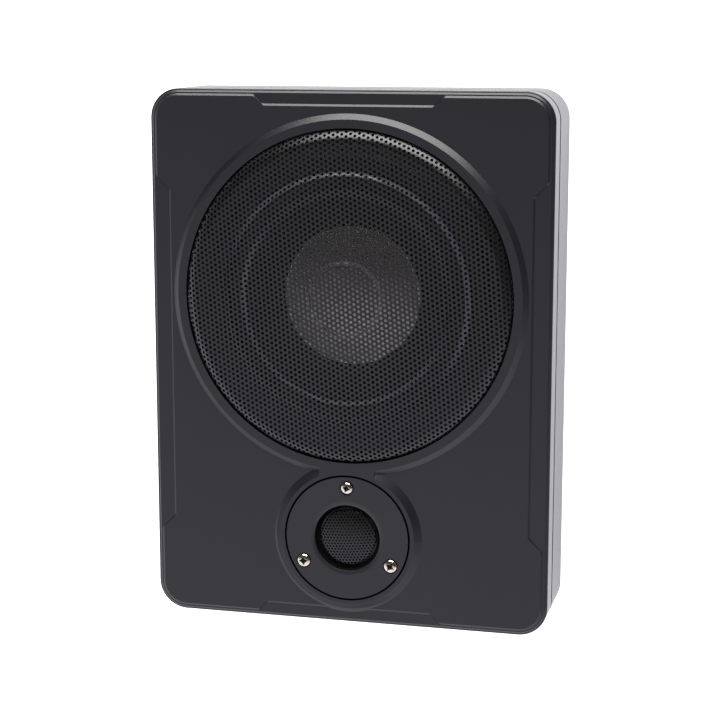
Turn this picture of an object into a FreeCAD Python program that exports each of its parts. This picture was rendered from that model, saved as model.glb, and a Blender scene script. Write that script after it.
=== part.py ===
"""A powered car subwoofer: a flat two-way box with an 8 inch woofer, a tweeter and its own amplifier.

It lies on its feet with the grille up. X runs across the box, Y along it towards the woofer's end, and Z up,
out of the face. The origin is the middle of the footprint, on the floor. Lengths are in millimetres.
"""

import os
import FreeCAD, Part

from math import cos, pi, radians, sin, sqrt, tan

# ---- Driving dimensions -------------------------------------------------------------------------

WIDTH = 250.0
LENGTH = 330.0
CORNER = 18.0

FOOT_HEIGHT = 3.0
CASE_BOTTOM = FOOT_HEIGHT
CASE_TOP = 43.0
GROOVE = 3.0
COVER_BOTTOM = CASE_TOP + GROOVE
LEDGE_TOP = 62.0
STEP = 0.8
INNER_LEDGE_TOP = LEDGE_TOP + STEP
PANEL_TOP = INNER_LEDGE_TOP + STEP
PLATFORM_TOP = 66.0
OUTER_STEP_INSET = 2.2
INNER_STEP_INSET = 4.2
WALL = 3.5
FLOOR_TOP = CASE_BOTTOM + 3.5
CEILING = 59.6
LIP_INSET = 1.8
LIP_TOP = 47.4
RABBET_INSET = 1.6
GASKET_TOP = 49.0

WOOFER_Y = 40.0
TWEETER_Y = -110.0

DISC_TOP_RADIUS = 107.6
DISC_BASE_RADIUS = 111.0
LOBE_TOP_RADIUS = 42.5
LOBE_BASE_RADIUS = 47.2
NECK_HALF_WIDTH = 17.5

GRILLE_RADIUS = 101.6
GRILLE_SHEET = 1.0
RECESS_RADIUS = 102.4
SEAT_TOP = 55.0
SEAT_THICKNESS = 3.0
CUTOUT_RADIUS = 91.0
WOOFER_SCREW_RADIUS = 96.0
WOOFER_SCREW_COUNT = 8

BASKET_RADIUS = 100.0
FLANGE_BOTTOM = SEAT_TOP + 1.2
FLANGE_TOP = FLANGE_BOTTOM + 2.0
SURROUND_SHEET = 1.0
CONE_EDGE_RADIUS = 75.0
DUST_CAP_RADIUS = 42.0
FORMER_RADIUS = 25.4
FORMER_WALL = 0.4
COIL_RADIUS = 26.8
POLE_RADIUS = 24.4
GAP_RADIUS = 27.4
YOKE_BOTTOM = 8.0
YOKE_TOP = 15.0
MAGNET_TOP = 27.0
PLATE_TOP = 33.0
SPIDER_SHELF = 40.0
TERMINAL_X = (-5.0, 5.0)
BLADE_END = WOOFER_Y - 92.0

TWEETER_PLATE_RADIUS = 39.0
TWEETER_RECESS_RADIUS = 39.7
TWEETER_SEAT = 63.0
TWEETER_SCREW_RADIUS = 32.0
TWEETER_SCREW_ANGLES = (90.0, 210.0, 330.0)
TWEETER_THROAT_RADIUS = 18.3
TWEETER_HUB_RADIUS = 26.5
TWEETER_HUB_BOTTOM = 59.6
DOME_RADIUS = 12.5
DOME_BASE = 54.1

CASE_SCREW_SPOTS = [(x, y) for x in (-113.0, 113.0) for y in (-153.0, 153.0)]
CASE_SCREW_SPOTS += [(x, y) for x in (-116.0, 116.0) for y in (-55.0, 55.0)]
SCREW_SEAT = 31.0
FOOT_SPOTS = [(x, y) for x in (-94.0, 94.0) for y in (-134.0, 134.0)]
FOOT_RADIUS = 10.0
MOUNT_SPOTS = [(x, y) for x in (-100.0, 100.0) for y in (-100.0, 100.0)]
MOUNT_HOLE_RADIUS = 2.1
MOUNT_HOLE_DEPTH = 10.0

BAY_HALF_WIDTH = 98.0
BAY_LOW = 8.5
BAY_HIGH = 39.5
PANEL_FRONT = -155.0
PANEL_BACK = -153.0
LEDGE_BACK = -150.5
SOCKET_Z = 24.0
BOARD_BOTTOM = 12.0
BOARD_TOP = 13.6
BOARD_FRONT = -148.0
BOARD_BACK = -76.0
BOARD_HALF_WIDTH = 88.0
STANDOFF_SPOTS = [(x, y) for x in (-82.0, 0.0, 82.0) for y in (-130.0, -81.0)]
BAR_FRONT = -70.0
BAR_BACK = -63.0

RCA_X = (-84.0, -68.0)
SPEAKER_INPUT_X = -47.0
KNOB_X = {"gain": -26.0, "crossover": -8.0, "bass": 10.0}
SWITCH_X = 26.0
LED_X = 36.0
REMOTE_X = 46.0
FUSE_X = 62.0
POWER_X = 82.0
PANEL_SCREW_SPOTS = [(x, z) for x in (-95.0, 95.0) for z in (14.0, 34.0)]
SOCKET_REACH = -162.0
SOCKET_TAIL = -139.0
KNOB_FRONT = -163.0
KNOB_BACK = -155.6
SHAFT_RADIUS = 3.0
SWITCH_TRAVEL = 4.0


# ---- Building blocks ----------------------------------------------------------------------------

def vec(x, y, z):
    return FreeCAD.Vector(x, y, z)


def box(x0, x1, y0, y1, z0, z1):
    return Part.makeBox(x1 - x0, y1 - y0, z1 - z0, vec(x0, y0, z0))


def rod(radius, z0, z1, x=0.0, y=0.0):
    return Part.makeCylinder(radius, z1 - z0, vec(x, y, z0))


def tube(outer, inner, z0, z1, x=0.0, y=0.0):
    return rod(outer, z0, z1, x, y).cut(rod(inner, z0 - 1, z1 + 1, x, y))


def box_about(x, half_x, y0, y1, z, half_z):
    return box(x - half_x, x + half_x, y0, y1, z - half_z, z + half_z)


def rod_along_y(radius, y0, y1, x, z):
    return Part.makeCylinder(radius, y1 - y0, vec(x, y0, z), vec(0, 1, 0))


def on_circle(radius, degrees, x=0.0, y=0.0):
    return x + radius * cos(radians(degrees)), y + radius * sin(radians(degrees))


def joined(shapes):
    whole = shapes[0]
    for shape in shapes[1:]:
        whole = whole.fuse(shape)
    return whole.removeSplitter()


def cut_all(shape, tools):
    for tool in tools:
        shape = shape.cut(tool)
    return shape


def rounded_wire(points, rounding, z):
    """A closed outline through the points, each corner turned into an arc of its own radius."""
    edges = []
    starts = []
    ends = []
    count = len(points)
    for i in range(count):
        corner = vec(points[i][0], points[i][1], z)
        before = vec(points[i - 1][0], points[i - 1][1], z) - corner
        after = vec(points[(i + 1) % count][0], points[(i + 1) % count][1], z) - corner
        half_angle = before.getAngle(after) / 2
        reach = rounding[i] / tan(half_angle)
        before.normalize()
        after.normalize()
        middle = before + after
        middle.normalize()
        depth = rounding[i] / sin(half_angle) - rounding[i]
        starts.append(corner + before * reach)
        ends.append(corner + after * reach)
        edges.append(Part.Arc(starts[i], corner + middle * depth, ends[i]).toShape())
    whole = []
    for i in range(count):
        whole.append(edges[i])
        whole.append(Part.makeLine(ends[i], starts[(i + 1) % count]))
    return Part.Wire(whole)


def outline(inset, z):
    """The box's outline, a rectangle with round corners, moved inwards."""
    x = WIDTH / 2 - inset
    y = LENGTH / 2 - inset
    return rounded_wire([(x, -y), (x, y), (-x, y), (-x, -y)], [CORNER - inset] * 4, z)


def slab(inset, z0, z1):
    return Part.Face(outline(inset, z0)).extrude(vec(0, 0, z1 - z0))


def ring_slab(outer_inset, inner_inset, z0, z1):
    return slab(outer_inset, z0, z1).cut(slab(inner_inset, z0 - 1, z1 + 1))


def turned(points, x=0.0, y=0.0):
    """A solid of revolution from straight runs between (radius, height) points."""
    corners = [vec(x + r, y, z) for r, z in points]
    face = Part.Face(Part.makePolygon(corners + [corners[0]]))
    return face.revolve(vec(x, y, 0), vec(0, 0, 1), 360)


def turned_edges(edges, x=0.0, y=0.0):
    """A solid of revolution from a closed list of edges drawn in the plane y = 0 about the Z axis."""
    face = Part.Face(Part.Wire(edges))
    solid = face.revolve(vec(0, 0, 0), vec(0, 0, 1), 360)
    solid.translate(vec(x, y, 0))
    return solid


def arc(a, b, c):
    """An arc in the plane y = 0 through three (radius, height) points."""
    return Part.Arc(vec(a[0], 0, a[1]), vec(b[0], 0, b[1]), vec(c[0], 0, c[1])).toShape()


def line(a, b):
    return Part.makeLine(vec(a[0], 0, a[1]), vec(b[0], 0, b[1]))


def dome_arc(top, radius, rim):
    """Half the section of a dome, from the axis at height top down to the rim, centred on the axis."""
    rise = top - rim
    sphere = (radius ** 2 + rise ** 2) / (2 * rise)
    drop = sphere - sqrt(sphere ** 2 - radius ** 2 / 4)
    return arc((0, top), (radius / 2, top - drop), (radius, rim))


def curve(points):
    spline = Part.BSplineCurve()
    spline.interpolate([vec(r, 0, z) for r, z in points])
    return spline.toShape()


def wire_tube(points, radius, bend):
    """A round tube along straight runs, with an arc of the bend radius at each inner point."""
    corners = [vec(*p) for p in points]
    edges = []
    start = corners[0]
    for i in range(1, len(corners) - 1):
        back = (corners[i - 1] - corners[i]).normalize()
        on = (corners[i + 1] - corners[i]).normalize()
        half_angle = back.getAngle(on) / 2
        reach = bend / tan(half_angle)
        middle = (back + on).normalize()
        depth = bend / sin(half_angle) - bend
        arc_start = corners[i] + back * reach
        arc_end = corners[i] + on * reach
        edges.append(Part.makeLine(start, arc_start))
        edges.append(Part.Arc(arc_start, corners[i] + middle * depth, arc_end).toShape())
        start = arc_end
    edges.append(Part.makeLine(start, corners[-1]))
    path = Part.Wire(edges)
    section = Part.Wire(Part.makeCircle(radius, corners[0], corners[1] - corners[0]))
    return path.makePipeShell([section], True, True)


def cross_recess(head_top, size, depth, x, y):
    """The cross-shaped driver recess in a screw head."""
    wing = 0.22 * size
    first = box(x - size, x + size, y - wing, y + wing, head_top - depth, head_top + 1)
    second = box(x - wing, x + wing, y - size, y + size, head_top - depth, head_top + 1)
    return first.fuse(second)


# ---- Casing -------------------------------------------------------------------------------------

def floor_grooves():
    """Long shallow cooling grooves in the underside, between the feet."""
    count = 13
    pitch = 12.0
    grooves = []
    for i in range(count):
        x = (i - (count - 1) / 2) * pitch
        grooves.append(box(x - 2.5, x + 2.5, -120, 120, CASE_BOTTOM - 1, CASE_BOTTOM + 1.2))
    return grooves


def socket_bay():
    """The walls round the sunken socket panel at the tweeter's end, with a ledge that the panel lies on."""
    half = BAY_HALF_WIDTH + 2.5
    return box(-half, half, -LENGTH / 2 + 2, LEDGE_BACK, FLOOR_TOP - 0.5, BAY_HIGH + 2.5)


def rear_case():
    body = slab(0, CASE_BOTTOM, CASE_TOP)
    rim = [e for e in body.Edges if e.BoundBox.ZMax < CASE_BOTTOM + 0.01]
    body = body.makeFillet(2.5, rim)
    body = body.cut(slab(WALL, FLOOR_TOP, CASE_TOP + 1))
    parts = [body, ring_slab(LIP_INSET, WALL, CASE_TOP - 1, LIP_TOP), socket_bay()]
    for x, y in CASE_SCREW_SPOTS:
        parts.append(rod(6.5, FLOOR_TOP - 1, CASE_TOP, x, y))
    for x, y in MOUNT_SPOTS:
        parts.append(rod(6.0, FLOOR_TOP - 1, CASE_BOTTOM + MOUNT_HOLE_DEPTH + 3, x, y))
    case = joined(parts)
    holes = floor_grooves()
    for x, y in CASE_SCREW_SPOTS:
        holes.append(rod(4.2, CASE_BOTTOM - 1, SCREW_SEAT, x, y))
        holes.append(rod(2.2, CASE_BOTTOM, CASE_TOP + 1, x, y))
    for x, y in MOUNT_SPOTS:
        holes.append(rod(MOUNT_HOLE_RADIUS, CASE_BOTTOM - 1, CASE_BOTTOM + MOUNT_HOLE_DEPTH, x, y))
    for x, y in FOOT_SPOTS:
        holes.append(rod(FOOT_RADIUS, CASE_BOTTOM - 1, CASE_BOTTOM + 1, x, y))
    holes.append(box(-BAY_HALF_WIDTH, BAY_HALF_WIDTH, -LENGTH / 2 - 1, PANEL_BACK, BAY_LOW, BAY_HIGH))
    holes.append(box(-92, 92, PANEL_BACK - 1, LEDGE_BACK + 1, 11, 37))
    for x, z in PANEL_SCREW_SPOTS:
        holes.append(rod_along_y(1.2, PANEL_BACK - 1, LEDGE_BACK + 1, x, z))
    return cut_all(case, holes)


def notched_wire(inset, z):
    """The raised panel's edge: a round-cornered rectangle that steps in along the middle of each side."""
    x = WIDTH / 2 - inset
    y = LENGTH / 2 - inset
    end_notch = 5.7
    side_notch = 8.4
    shift = (inset - 3.0) * tan(pi / 8)
    end_half = 53.0 - shift
    side_half = 103.5 - shift
    quarter = [
        (x - side_notch, side_half),
        (x, side_half + side_notch),
        (x, y),
        (end_half + end_notch, y),
        (end_half, y - end_notch),
    ]
    turn = 3.0
    radii = [turn, turn, CORNER - inset, turn, turn]
    points = quarter + [(-px, py) for px, py in reversed(quarter)]
    points += [(-px, -py) for px, py in quarter] + [(px, -py) for px, py in reversed(quarter)]
    return rounded_wire(points, radii + radii[::-1] + radii + radii[::-1], z)


def raised_border():
    """Two low steps that climb from the outer ledge to the main panel."""
    sunk = STEP / 2
    low_edge = [
        outline(OUTER_STEP_INSET - 1.65, LEDGE_TOP - sunk),
        outline(OUTER_STEP_INSET, INNER_LEDGE_TOP),
    ]
    high_edge = [
        notched_wire(INNER_STEP_INSET - 1.8, INNER_LEDGE_TOP - sunk),
        notched_wire(INNER_STEP_INSET, PANEL_TOP),
    ]
    return [Part.makeLoft(low_edge, True, True), Part.makeLoft(high_edge, True, True)]


def platform():
    """The raised figure-of-eight round the woofer and the tweeter, with sloping sides and a flush neck.

    Each slope carries on below the panel's face by a quarter of its height, so it is fused with the panel.
    """
    share = 1.25
    height = share * (PLATFORM_TOP - PANEL_TOP)
    base = PLATFORM_TOP - height
    disc_base = DISC_TOP_RADIUS + share * (DISC_BASE_RADIUS - DISC_TOP_RADIUS)
    lobe_base = LOBE_TOP_RADIUS + share * (LOBE_BASE_RADIUS - LOBE_TOP_RADIUS)
    disc = Part.makeCone(disc_base, DISC_TOP_RADIUS, height, vec(0, WOOFER_Y, base))
    lobe = Part.makeCone(lobe_base, LOBE_TOP_RADIUS, height, vec(0, TWEETER_Y, base))
    neck = box(-NECK_HALF_WIDTH, NECK_HALF_WIDTH, -76, -62, base, PLATFORM_TOP)
    return [disc, lobe, neck]


def front_cover():
    plate = slab(0, COVER_BOTTOM, LEDGE_TOP)
    rim = [e for e in plate.Edges if e.BoundBox.ZMin > LEDGE_TOP - 0.01]
    plate = plate.makeFillet(0.9, rim)
    shell = plate.cut(slab(WALL, COVER_BOTTOM - 1, CEILING))
    shell = shell.cut(slab(RABBET_INSET, COVER_BOTTOM - 1, GASKET_TOP))
    seat_bottom = SEAT_TOP - SEAT_THICKNESS
    parts = [shell] + raised_border() + platform()
    parts.append(rod(RECESS_RADIUS + 3.4, seat_bottom, CEILING + 1, 0, WOOFER_Y))
    parts.append(rod(30.0, 57.6, CEILING + 1, 0, TWEETER_Y))
    for x, y in CASE_SCREW_SPOTS:
        parts.append(rod(5.0, CASE_TOP, CEILING + 1, x, y))
    for degrees in TWEETER_SCREW_ANGLES:
        x, y = on_circle(TWEETER_SCREW_RADIUS, degrees, 0, TWEETER_Y)
        parts.append(rod(4.0, 53.0, CEILING + 1, x, y))
    cover = joined(parts)
    holes = [
        rod(RECESS_RADIUS, SEAT_TOP, PLATFORM_TOP + 1, 0, WOOFER_Y),
        rod(CUTOUT_RADIUS, seat_bottom - 1, PLATFORM_TOP, 0, WOOFER_Y),
        rod(TWEETER_RECESS_RADIUS, TWEETER_SEAT, PLATFORM_TOP + 1, 0, TWEETER_Y),
        rod(TWEETER_HUB_RADIUS + 0.4, 50.0, PLATFORM_TOP, 0, TWEETER_Y),
    ]
    for i in range(WOOFER_SCREW_COUNT):
        x, y = on_circle(WOOFER_SCREW_RADIUS, 22.5 + 45 * i, 0, WOOFER_Y)
        holes.append(rod(1.6, seat_bottom - 1, SEAT_TOP + 1, x, y))
    for degrees in TWEETER_SCREW_ANGLES:
        x, y = on_circle(TWEETER_SCREW_RADIUS, degrees, 0, TWEETER_Y)
        holes.append(rod(1.3, 52.0, TWEETER_SEAT + 1, x, y))
    for x, y in CASE_SCREW_SPOTS:
        holes.append(rod(1.8, CASE_TOP - 1, 57.0, x, y))
    return cut_all(cover, holes)


def case_gasket():
    return ring_slab(1.9, 3.4, LIP_TOP, GASKET_TOP)


def case_screws():
    screws = []
    for x, y in CASE_SCREW_SPOTS:
        head = turned([(0, SCREW_SEAT), (3.8, SCREW_SEAT), (3.8, 29.2), (2.6, 28.2), (0, 28.2)], x, y)
        shank = rod(2.0, SCREW_SEAT - 0.5, 55.0, x, y)
        recess = rod(1.5, 27.0, 29.8, x, y)
        screws.append(head.fuse(shank).cut(recess))
    return Part.makeCompound(screws)


def rubber_feet():
    feet = []
    for x, y in FOOT_SPOTS:
        side = FOOT_RADIUS - 0.2
        top = CASE_BOTTOM + 1
        profile = [(0, 0), (side - 2.2, 0), (side - 1.0, 0.6), (side, CASE_BOTTOM), (side, top), (0, top)]
        feet.append(turned(profile, x, y).cut(rod(3.0, -1, 1.2, x, y)))
    return Part.makeCompound(feet)


# ---- Woofer -------------------------------------------------------------------------------------

def woofer_grille():
    """A pressed sheet: an upright rim, a round shoulder, a ring bead and a raised middle disc."""
    crown = [(95.2, 68.9), (86.0, 69.15), (78.5, 69.35), (74.5, 70.4), (70.5, 71.4), (66.5, 70.55)]
    crown += [(62.5, 69.6), (48.0, 69.75), (34.0, 69.85)]
    crown += [(24.0, 69.9), (21.0, 70.4), (18.0, 70.8), (0.0, 70.9)]
    lower = [(r, z - GRILLE_SHEET) for r, z in crown]
    shoulder_out = (GRILLE_RADIUS, 64.6)
    shoulder_in = (GRILLE_RADIUS - GRILLE_SHEET, 64.4)
    edges = [
        line((GRILLE_RADIUS, SEAT_TOP), shoulder_out),
        arc(shoulder_out, (99.6, 67.7), crown[0]),
        curve(crown),
        line(crown[-1], lower[-1]),
        curve(lower[::-1]),
        arc(lower[0], (98.85, 66.95), shoulder_in),
        line(shoulder_in, (GRILLE_RADIUS - GRILLE_SHEET, SEAT_TOP)),
        line((GRILLE_RADIUS - GRILLE_SHEET, SEAT_TOP), (GRILLE_RADIUS, SEAT_TOP)),
    ]
    return turned_edges(edges, 0, WOOFER_Y)


def woofer_gasket():
    ring = tube(99.0, 91.5, SEAT_TOP, FLANGE_BOTTOM, 0, WOOFER_Y)
    for i in range(WOOFER_SCREW_COUNT):
        x, y = on_circle(WOOFER_SCREW_RADIUS, 22.5 + 45 * i, 0, WOOFER_Y)
        ring = ring.cut(rod(2.4, SEAT_TOP - 1, FLANGE_BOTTOM + 1, x, y))
    return ring


def woofer_basket():
    """A pressed steel frame: flange, six spokes, spider shelf and the ring that sits on the top plate."""
    shelf = SPIDER_SHELF
    profile = [
        (30.0, PLATE_TOP), (54.0, PLATE_TOP), (56.5, shelf - 1.5), (64.5, shelf - 1.5),
        (90.2, FLANGE_BOTTOM), (BASKET_RADIUS, FLANGE_BOTTOM), (BASKET_RADIUS, FLANGE_TOP),
        (89.0, FLANGE_TOP), (63.6, shelf), (55.0, shelf), (52.6, PLATE_TOP + 1.6), (30.0, PLATE_TOP + 1.6),
    ]
    basket = turned(profile, 0, WOOFER_Y)
    lug = box(-9, 9, WOOFER_Y - 86, WOOFER_Y - 70.5, 42.4, 44.4)
    windows = []
    for i in range(6):
        window = tube(85.0, 67.0, 38.0, 60.0, 0, WOOFER_Y)
        wedge = Part.makeCylinder(90.0, 30.0, vec(0, WOOFER_Y, 34.0), vec(0, 0, 1), 38.0)
        wedge.rotate(vec(0, WOOFER_Y, 0), vec(0, 0, 1), 41.0 + 60.0 * i)
        windows.append(window.common(wedge))
    for i in range(WOOFER_SCREW_COUNT):
        x, y = on_circle(WOOFER_SCREW_RADIUS, 22.5 + 45 * i, 0, WOOFER_Y)
        windows.append(rod(2.2, FLANGE_BOTTOM - 1, FLANGE_TOP + 1, x, y))
    for x in TERMINAL_X:
        windows.append(rod_along_y(1.6, WOOFER_Y - 80, WOOFER_Y - 68, x, 46.7))
    return cut_all(basket, windows).fuse(lug).removeSplitter()


def woofer_screws():
    screws = []
    for i in range(WOOFER_SCREW_COUNT):
        x, y = on_circle(WOOFER_SCREW_RADIUS, 22.5 + 45 * i, 0, WOOFER_Y)
        side = FLANGE_TOP + 1.1
        top = FLANGE_TOP + 2.0
        head = turned([(0, FLANGE_TOP), (3.1, FLANGE_TOP), (3.1, side), (1.6, top), (0, top)], x, y)
        shank = rod(1.8, 50.0, FLANGE_TOP + 0.5, x, y)
        screws.append(head.fuse(shank).cut(cross_recess(top, 1.5, 1.2, x, y)))
    return Part.makeCompound(screws)


def woofer_surround():
    """A rubber half roll between the cone's edge and the basket's flange."""
    base = FLANGE_TOP
    top = base + SURROUND_SHEET
    edges = [
        line((69.5, base), (75.6, base)),
        arc((75.6, base), (82.0, base + 6.0), (88.4, base)),
        line((88.4, base), (92.4, base)),
        line((92.4, base), (92.4, top)),
        line((92.4, top), (89.2, top)),
        arc((89.2, top), (82.0, base + 7.0), (74.8, top)),
        line((74.8, top), (69.5, top)),
        line((69.5, top), (69.5, base)),
    ]
    return turned_edges(edges, 0, WOOFER_Y)


def woofer_cone():
    """A shallow cone with a flat rim under the surround and a neck on the voice coil former."""
    rim_top = FLANGE_TOP
    edges = [
        line((CONE_EDGE_RADIUS, rim_top - 1.2), (CONE_EDGE_RADIUS, rim_top)),
        line((CONE_EDGE_RADIUS, rim_top), (69.0, rim_top)),
        arc((69.0, rim_top), (48.0, 52.3), (FORMER_RADIUS, 47.2)),
        line((FORMER_RADIUS, 47.2), (FORMER_RADIUS, 45.8)),
        arc((FORMER_RADIUS, 45.8), (48.4, 51.1), (69.2, rim_top - 1.2)),
        line((69.2, rim_top - 1.2), (CONE_EDGE_RADIUS, rim_top - 1.2)),
    ]
    return turned_edges(edges, 0, WOOFER_Y)


def dust_cap():
    """A shallow metal dome glued to the cone."""
    edges = [
        dome_arc(58.1, DUST_CAP_RADIUS - 1, 51.6),
        line((DUST_CAP_RADIUS - 1, 51.6), (DUST_CAP_RADIUS + 0.5, 51.4)),
        line((DUST_CAP_RADIUS + 0.5, 51.4), (DUST_CAP_RADIUS + 0.5, 52.1)),
        line((DUST_CAP_RADIUS + 0.5, 52.1), (DUST_CAP_RADIUS - 1, 52.3)),
        dome_arc(58.8, DUST_CAP_RADIUS - 1, 52.3),
        line((0, 58.8), (0, 58.1)),
    ]
    return turned_edges(edges, 0, WOOFER_Y)


def voice_coil_former():
    return tube(FORMER_RADIUS, FORMER_RADIUS - FORMER_WALL, 21.5, 47.0, 0, WOOFER_Y)


def voice_coil():
    return tube(COIL_RADIUS, FORMER_RADIUS, 22.0, 38.0, 0, WOOFER_Y)


def spider():
    """The corrugated cloth disc that centres the coil."""
    level = SPIDER_SHELF
    sheet = 0.6
    swing = 1.0
    ring_count = 4
    inner = 29.5
    pitch = (54.0 - inner) / ring_count
    top = [(FORMER_RADIUS, level + sheet), (inner, level + sheet)]
    for i in range(ring_count):
        rise = swing if i % 2 == 0 else -swing
        top.append((inner + (i + 0.5) * pitch, level + sheet + rise))
        top.append((inner + (i + 1) * pitch, level + sheet))
    top.append((63.0, level + sheet))
    low = [(r, z - sheet) for r, z in reversed(top)]
    return turned(top + low, 0, WOOFER_Y)


def top_plate():
    return tube(56.0, GAP_RADIUS, MAGNET_TOP, PLATE_TOP, 0, WOOFER_Y)


def woofer_magnet():
    ring = tube(60.0, 31.0, YOKE_TOP, MAGNET_TOP, 0, WOOFER_Y)
    rims = [e for e in ring.Edges if abs(e.Length - 2 * pi * 60.0) < 0.1]
    return ring.makeChamfer(1.2, rims)


def magnet_yoke():
    """The back plate and its centre pole, with a vent through the pole."""
    side = 57.0
    bevel = 2.5
    low_edge = [(0, YOKE_BOTTOM), (side - bevel, YOKE_BOTTOM), (side, YOKE_BOTTOM + bevel)]
    foot = turned(low_edge + [(side, YOKE_TOP), (0, YOKE_TOP)], 0, WOOFER_Y)
    pole = rod(POLE_RADIUS, YOKE_TOP - 1, PLATE_TOP, 0, WOOFER_Y)
    vent = rod(8.0, YOKE_BOTTOM - 1, PLATE_TOP + 1, 0, WOOFER_Y)
    return foot.fuse(pole).removeSplitter().cut(vent)


def woofer_terminals():
    """Two push-on blades on an insulating strip, on the basket's lug."""
    strip = box(-8, 8, WOOFER_Y - 85, WOOFER_Y - 76.5, 44.4, 46.0)
    blades = []
    for x in TERMINAL_X:
        blades.append(box(x - 1.6, x + 1.6, BLADE_END, WOOFER_Y - 80, 46.0, 46.8))
    return joined([strip] + blades)


def tinsel_leads():
    """The two flexible braids from the terminals to the cone."""
    leads = []
    for x in TERMINAL_X:
        points = [(x, WOOFER_Y - 79.6, 46.7), (x, WOOFER_Y - 66, 46.7), (x, WOOFER_Y - 60.5, 53.0)]
        leads.append(wire_tube(points, 0.6, 5.0))
    return Part.makeCompound(leads)


# ---- Tweeter ------------------------------------------------------------------------------------

def tweeter_plate():
    """The round faceplate with a rolled throat, three dimpled screw holes and a hub below."""
    edges = [
        line((TWEETER_PLATE_RADIUS, TWEETER_SEAT), (TWEETER_PLATE_RADIUS, PLATFORM_TOP - 0.4)),
        arc((TWEETER_PLATE_RADIUS, PLATFORM_TOP - 0.4), (38.88, PLATFORM_TOP - 0.12), (38.6, PLATFORM_TOP)),
        line((38.6, PLATFORM_TOP), (23.6, PLATFORM_TOP)),
        arc((23.6, PLATFORM_TOP), (22.1, 65.77), (20.7, 65.2)),
        line((20.7, 65.2), (20.6, 61.4)),
        line((20.6, 61.4), (TWEETER_THROAT_RADIUS, 61.4)),
        line((TWEETER_THROAT_RADIUS, 61.4), (TWEETER_THROAT_RADIUS, 60.7)),
        line((TWEETER_THROAT_RADIUS, 60.7), (20.4, 60.7)),
        line((20.4, 60.7), (20.4, TWEETER_HUB_BOTTOM)),
        line((20.4, TWEETER_HUB_BOTTOM), (TWEETER_HUB_RADIUS, TWEETER_HUB_BOTTOM)),
        line((TWEETER_HUB_RADIUS, TWEETER_HUB_BOTTOM), (TWEETER_HUB_RADIUS, TWEETER_SEAT)),
        line((TWEETER_HUB_RADIUS, TWEETER_SEAT), (TWEETER_PLATE_RADIUS, TWEETER_SEAT)),
    ]
    plate = turned_edges(edges, 0, TWEETER_Y)
    for degrees in TWEETER_SCREW_ANGLES:
        x, y = on_circle(TWEETER_SCREW_RADIUS, degrees, 0, TWEETER_Y)
        plate = plate.cut(rod(1.8, 62.0, 67.0, x, y))
        plate = plate.cut(rod(4.7, PLATFORM_TOP - 0.9, 67.0, x, y))
    return plate


def tweeter_grille():
    """A small domed sheet held under the throat."""
    crown = [(16.6, 62.6), (12.0, 63.7), (6.0, 64.5), (0.0, 64.8)]
    lower = [(r, z - 0.6) for r, z in crown]
    edges = [
        line((20.2, 60.1), (20.2, 60.7)),
        line((20.2, 60.7), (18.0, 60.7)),
        arc((18.0, 60.7), (17.75, 61.75), crown[0]),
        curve(crown),
        line(crown[-1], lower[-1]),
        curve(lower[::-1]),
        arc(lower[0], (17.25, 61.35), (17.4, 60.1)),
        line((17.4, 60.1), (20.2, 60.1)),
    ]
    return turned_edges(edges, 0, TWEETER_Y)


def tweeter_screws():
    """Domed cross-recess screws, each with its head in a dimple of the faceplate."""
    screws = []
    seat = PLATFORM_TOP - 0.9
    for degrees in TWEETER_SCREW_ANGLES:
        x, y = on_circle(TWEETER_SCREW_RADIUS, degrees, 0, TWEETER_Y)
        edges = [
            line((0, seat), (4.2, seat)),
            line((4.2, seat), (4.2, seat + 0.7)),
            arc((4.2, seat + 0.7), (2.6, seat + 2.1), (0, seat + 2.6)),
            line((0, seat + 2.6), (0, seat)),
        ]
        head = turned_edges(edges, x, y)
        shank = rod(1.5, 54.0, seat + 0.5, x, y)
        screws.append(head.fuse(shank).cut(cross_recess(seat + 2.6, 2.1, 1.7, x, y)))
    return Part.makeCompound(screws)


def tweeter_housing():
    """The moulded cup behind the faceplate that holds the motor."""
    flange = tube(TWEETER_HUB_RADIUS, 18.4, 57.0, TWEETER_HUB_BOTTOM, 0, TWEETER_Y)
    wall = tube(21.5, 17.6, 45.5, 57.5, 0, TWEETER_Y)
    lug = box(-7, 7, TWEETER_Y + 20.5, TWEETER_Y + 25.5, 50.0, 51.6)
    return joined([flange, wall, lug])


def tweeter_dome():
    """A soft dome on a short skirt."""
    edges = [
        dome_arc(58.4, DOME_RADIUS, DOME_BASE),
        line((DOME_RADIUS, DOME_BASE), (DOME_RADIUS - 0.5, DOME_BASE)),
        dome_arc(58.0, DOME_RADIUS - 0.5, DOME_BASE),
        line((0, 58.0), (0, 58.4)),
    ]
    return turned_edges(edges, 0, TWEETER_Y)


def tweeter_surround():
    """The small roll that holds the dome's edge on the motor's top plate."""
    edges = [
        line((12.9, DOME_BASE), (13.3, DOME_BASE)),
        arc((13.3, DOME_BASE), (14.3, 55.0), (15.3, DOME_BASE)),
        line((15.3, DOME_BASE), (15.3, 53.5)),
        line((15.3, 53.5), (17.2, 53.5)),
        line((17.2, 53.5), (17.2, 54.5)),
        line((17.2, 54.5), (15.9, 54.5)),
        arc((15.9, 54.5), (14.3, 55.6), (12.9, 54.6)),
        line((12.9, 54.6), (12.9, DOME_BASE)),
    ]
    return turned_edges(edges, 0, TWEETER_Y)


def tweeter_coil():
    return tube(12.8, 12.1, 49.5, DOME_BASE, 0, TWEETER_Y)


def tweeter_top_plate():
    return tube(17.5, 13.4, 50.9, 53.5, 0, TWEETER_Y)


def tweeter_magnet():
    return rod(11.0, 47.0, 50.5, 0, TWEETER_Y)


def tweeter_pole():
    return rod(11.6, 50.5, 53.5, 0, TWEETER_Y)


def tweeter_yoke():
    cup = rod(17.5, 44.5, 50.9, 0, TWEETER_Y)
    return cup.cut(rod(15.2, 47.0, 52.0, 0, TWEETER_Y))


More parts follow.
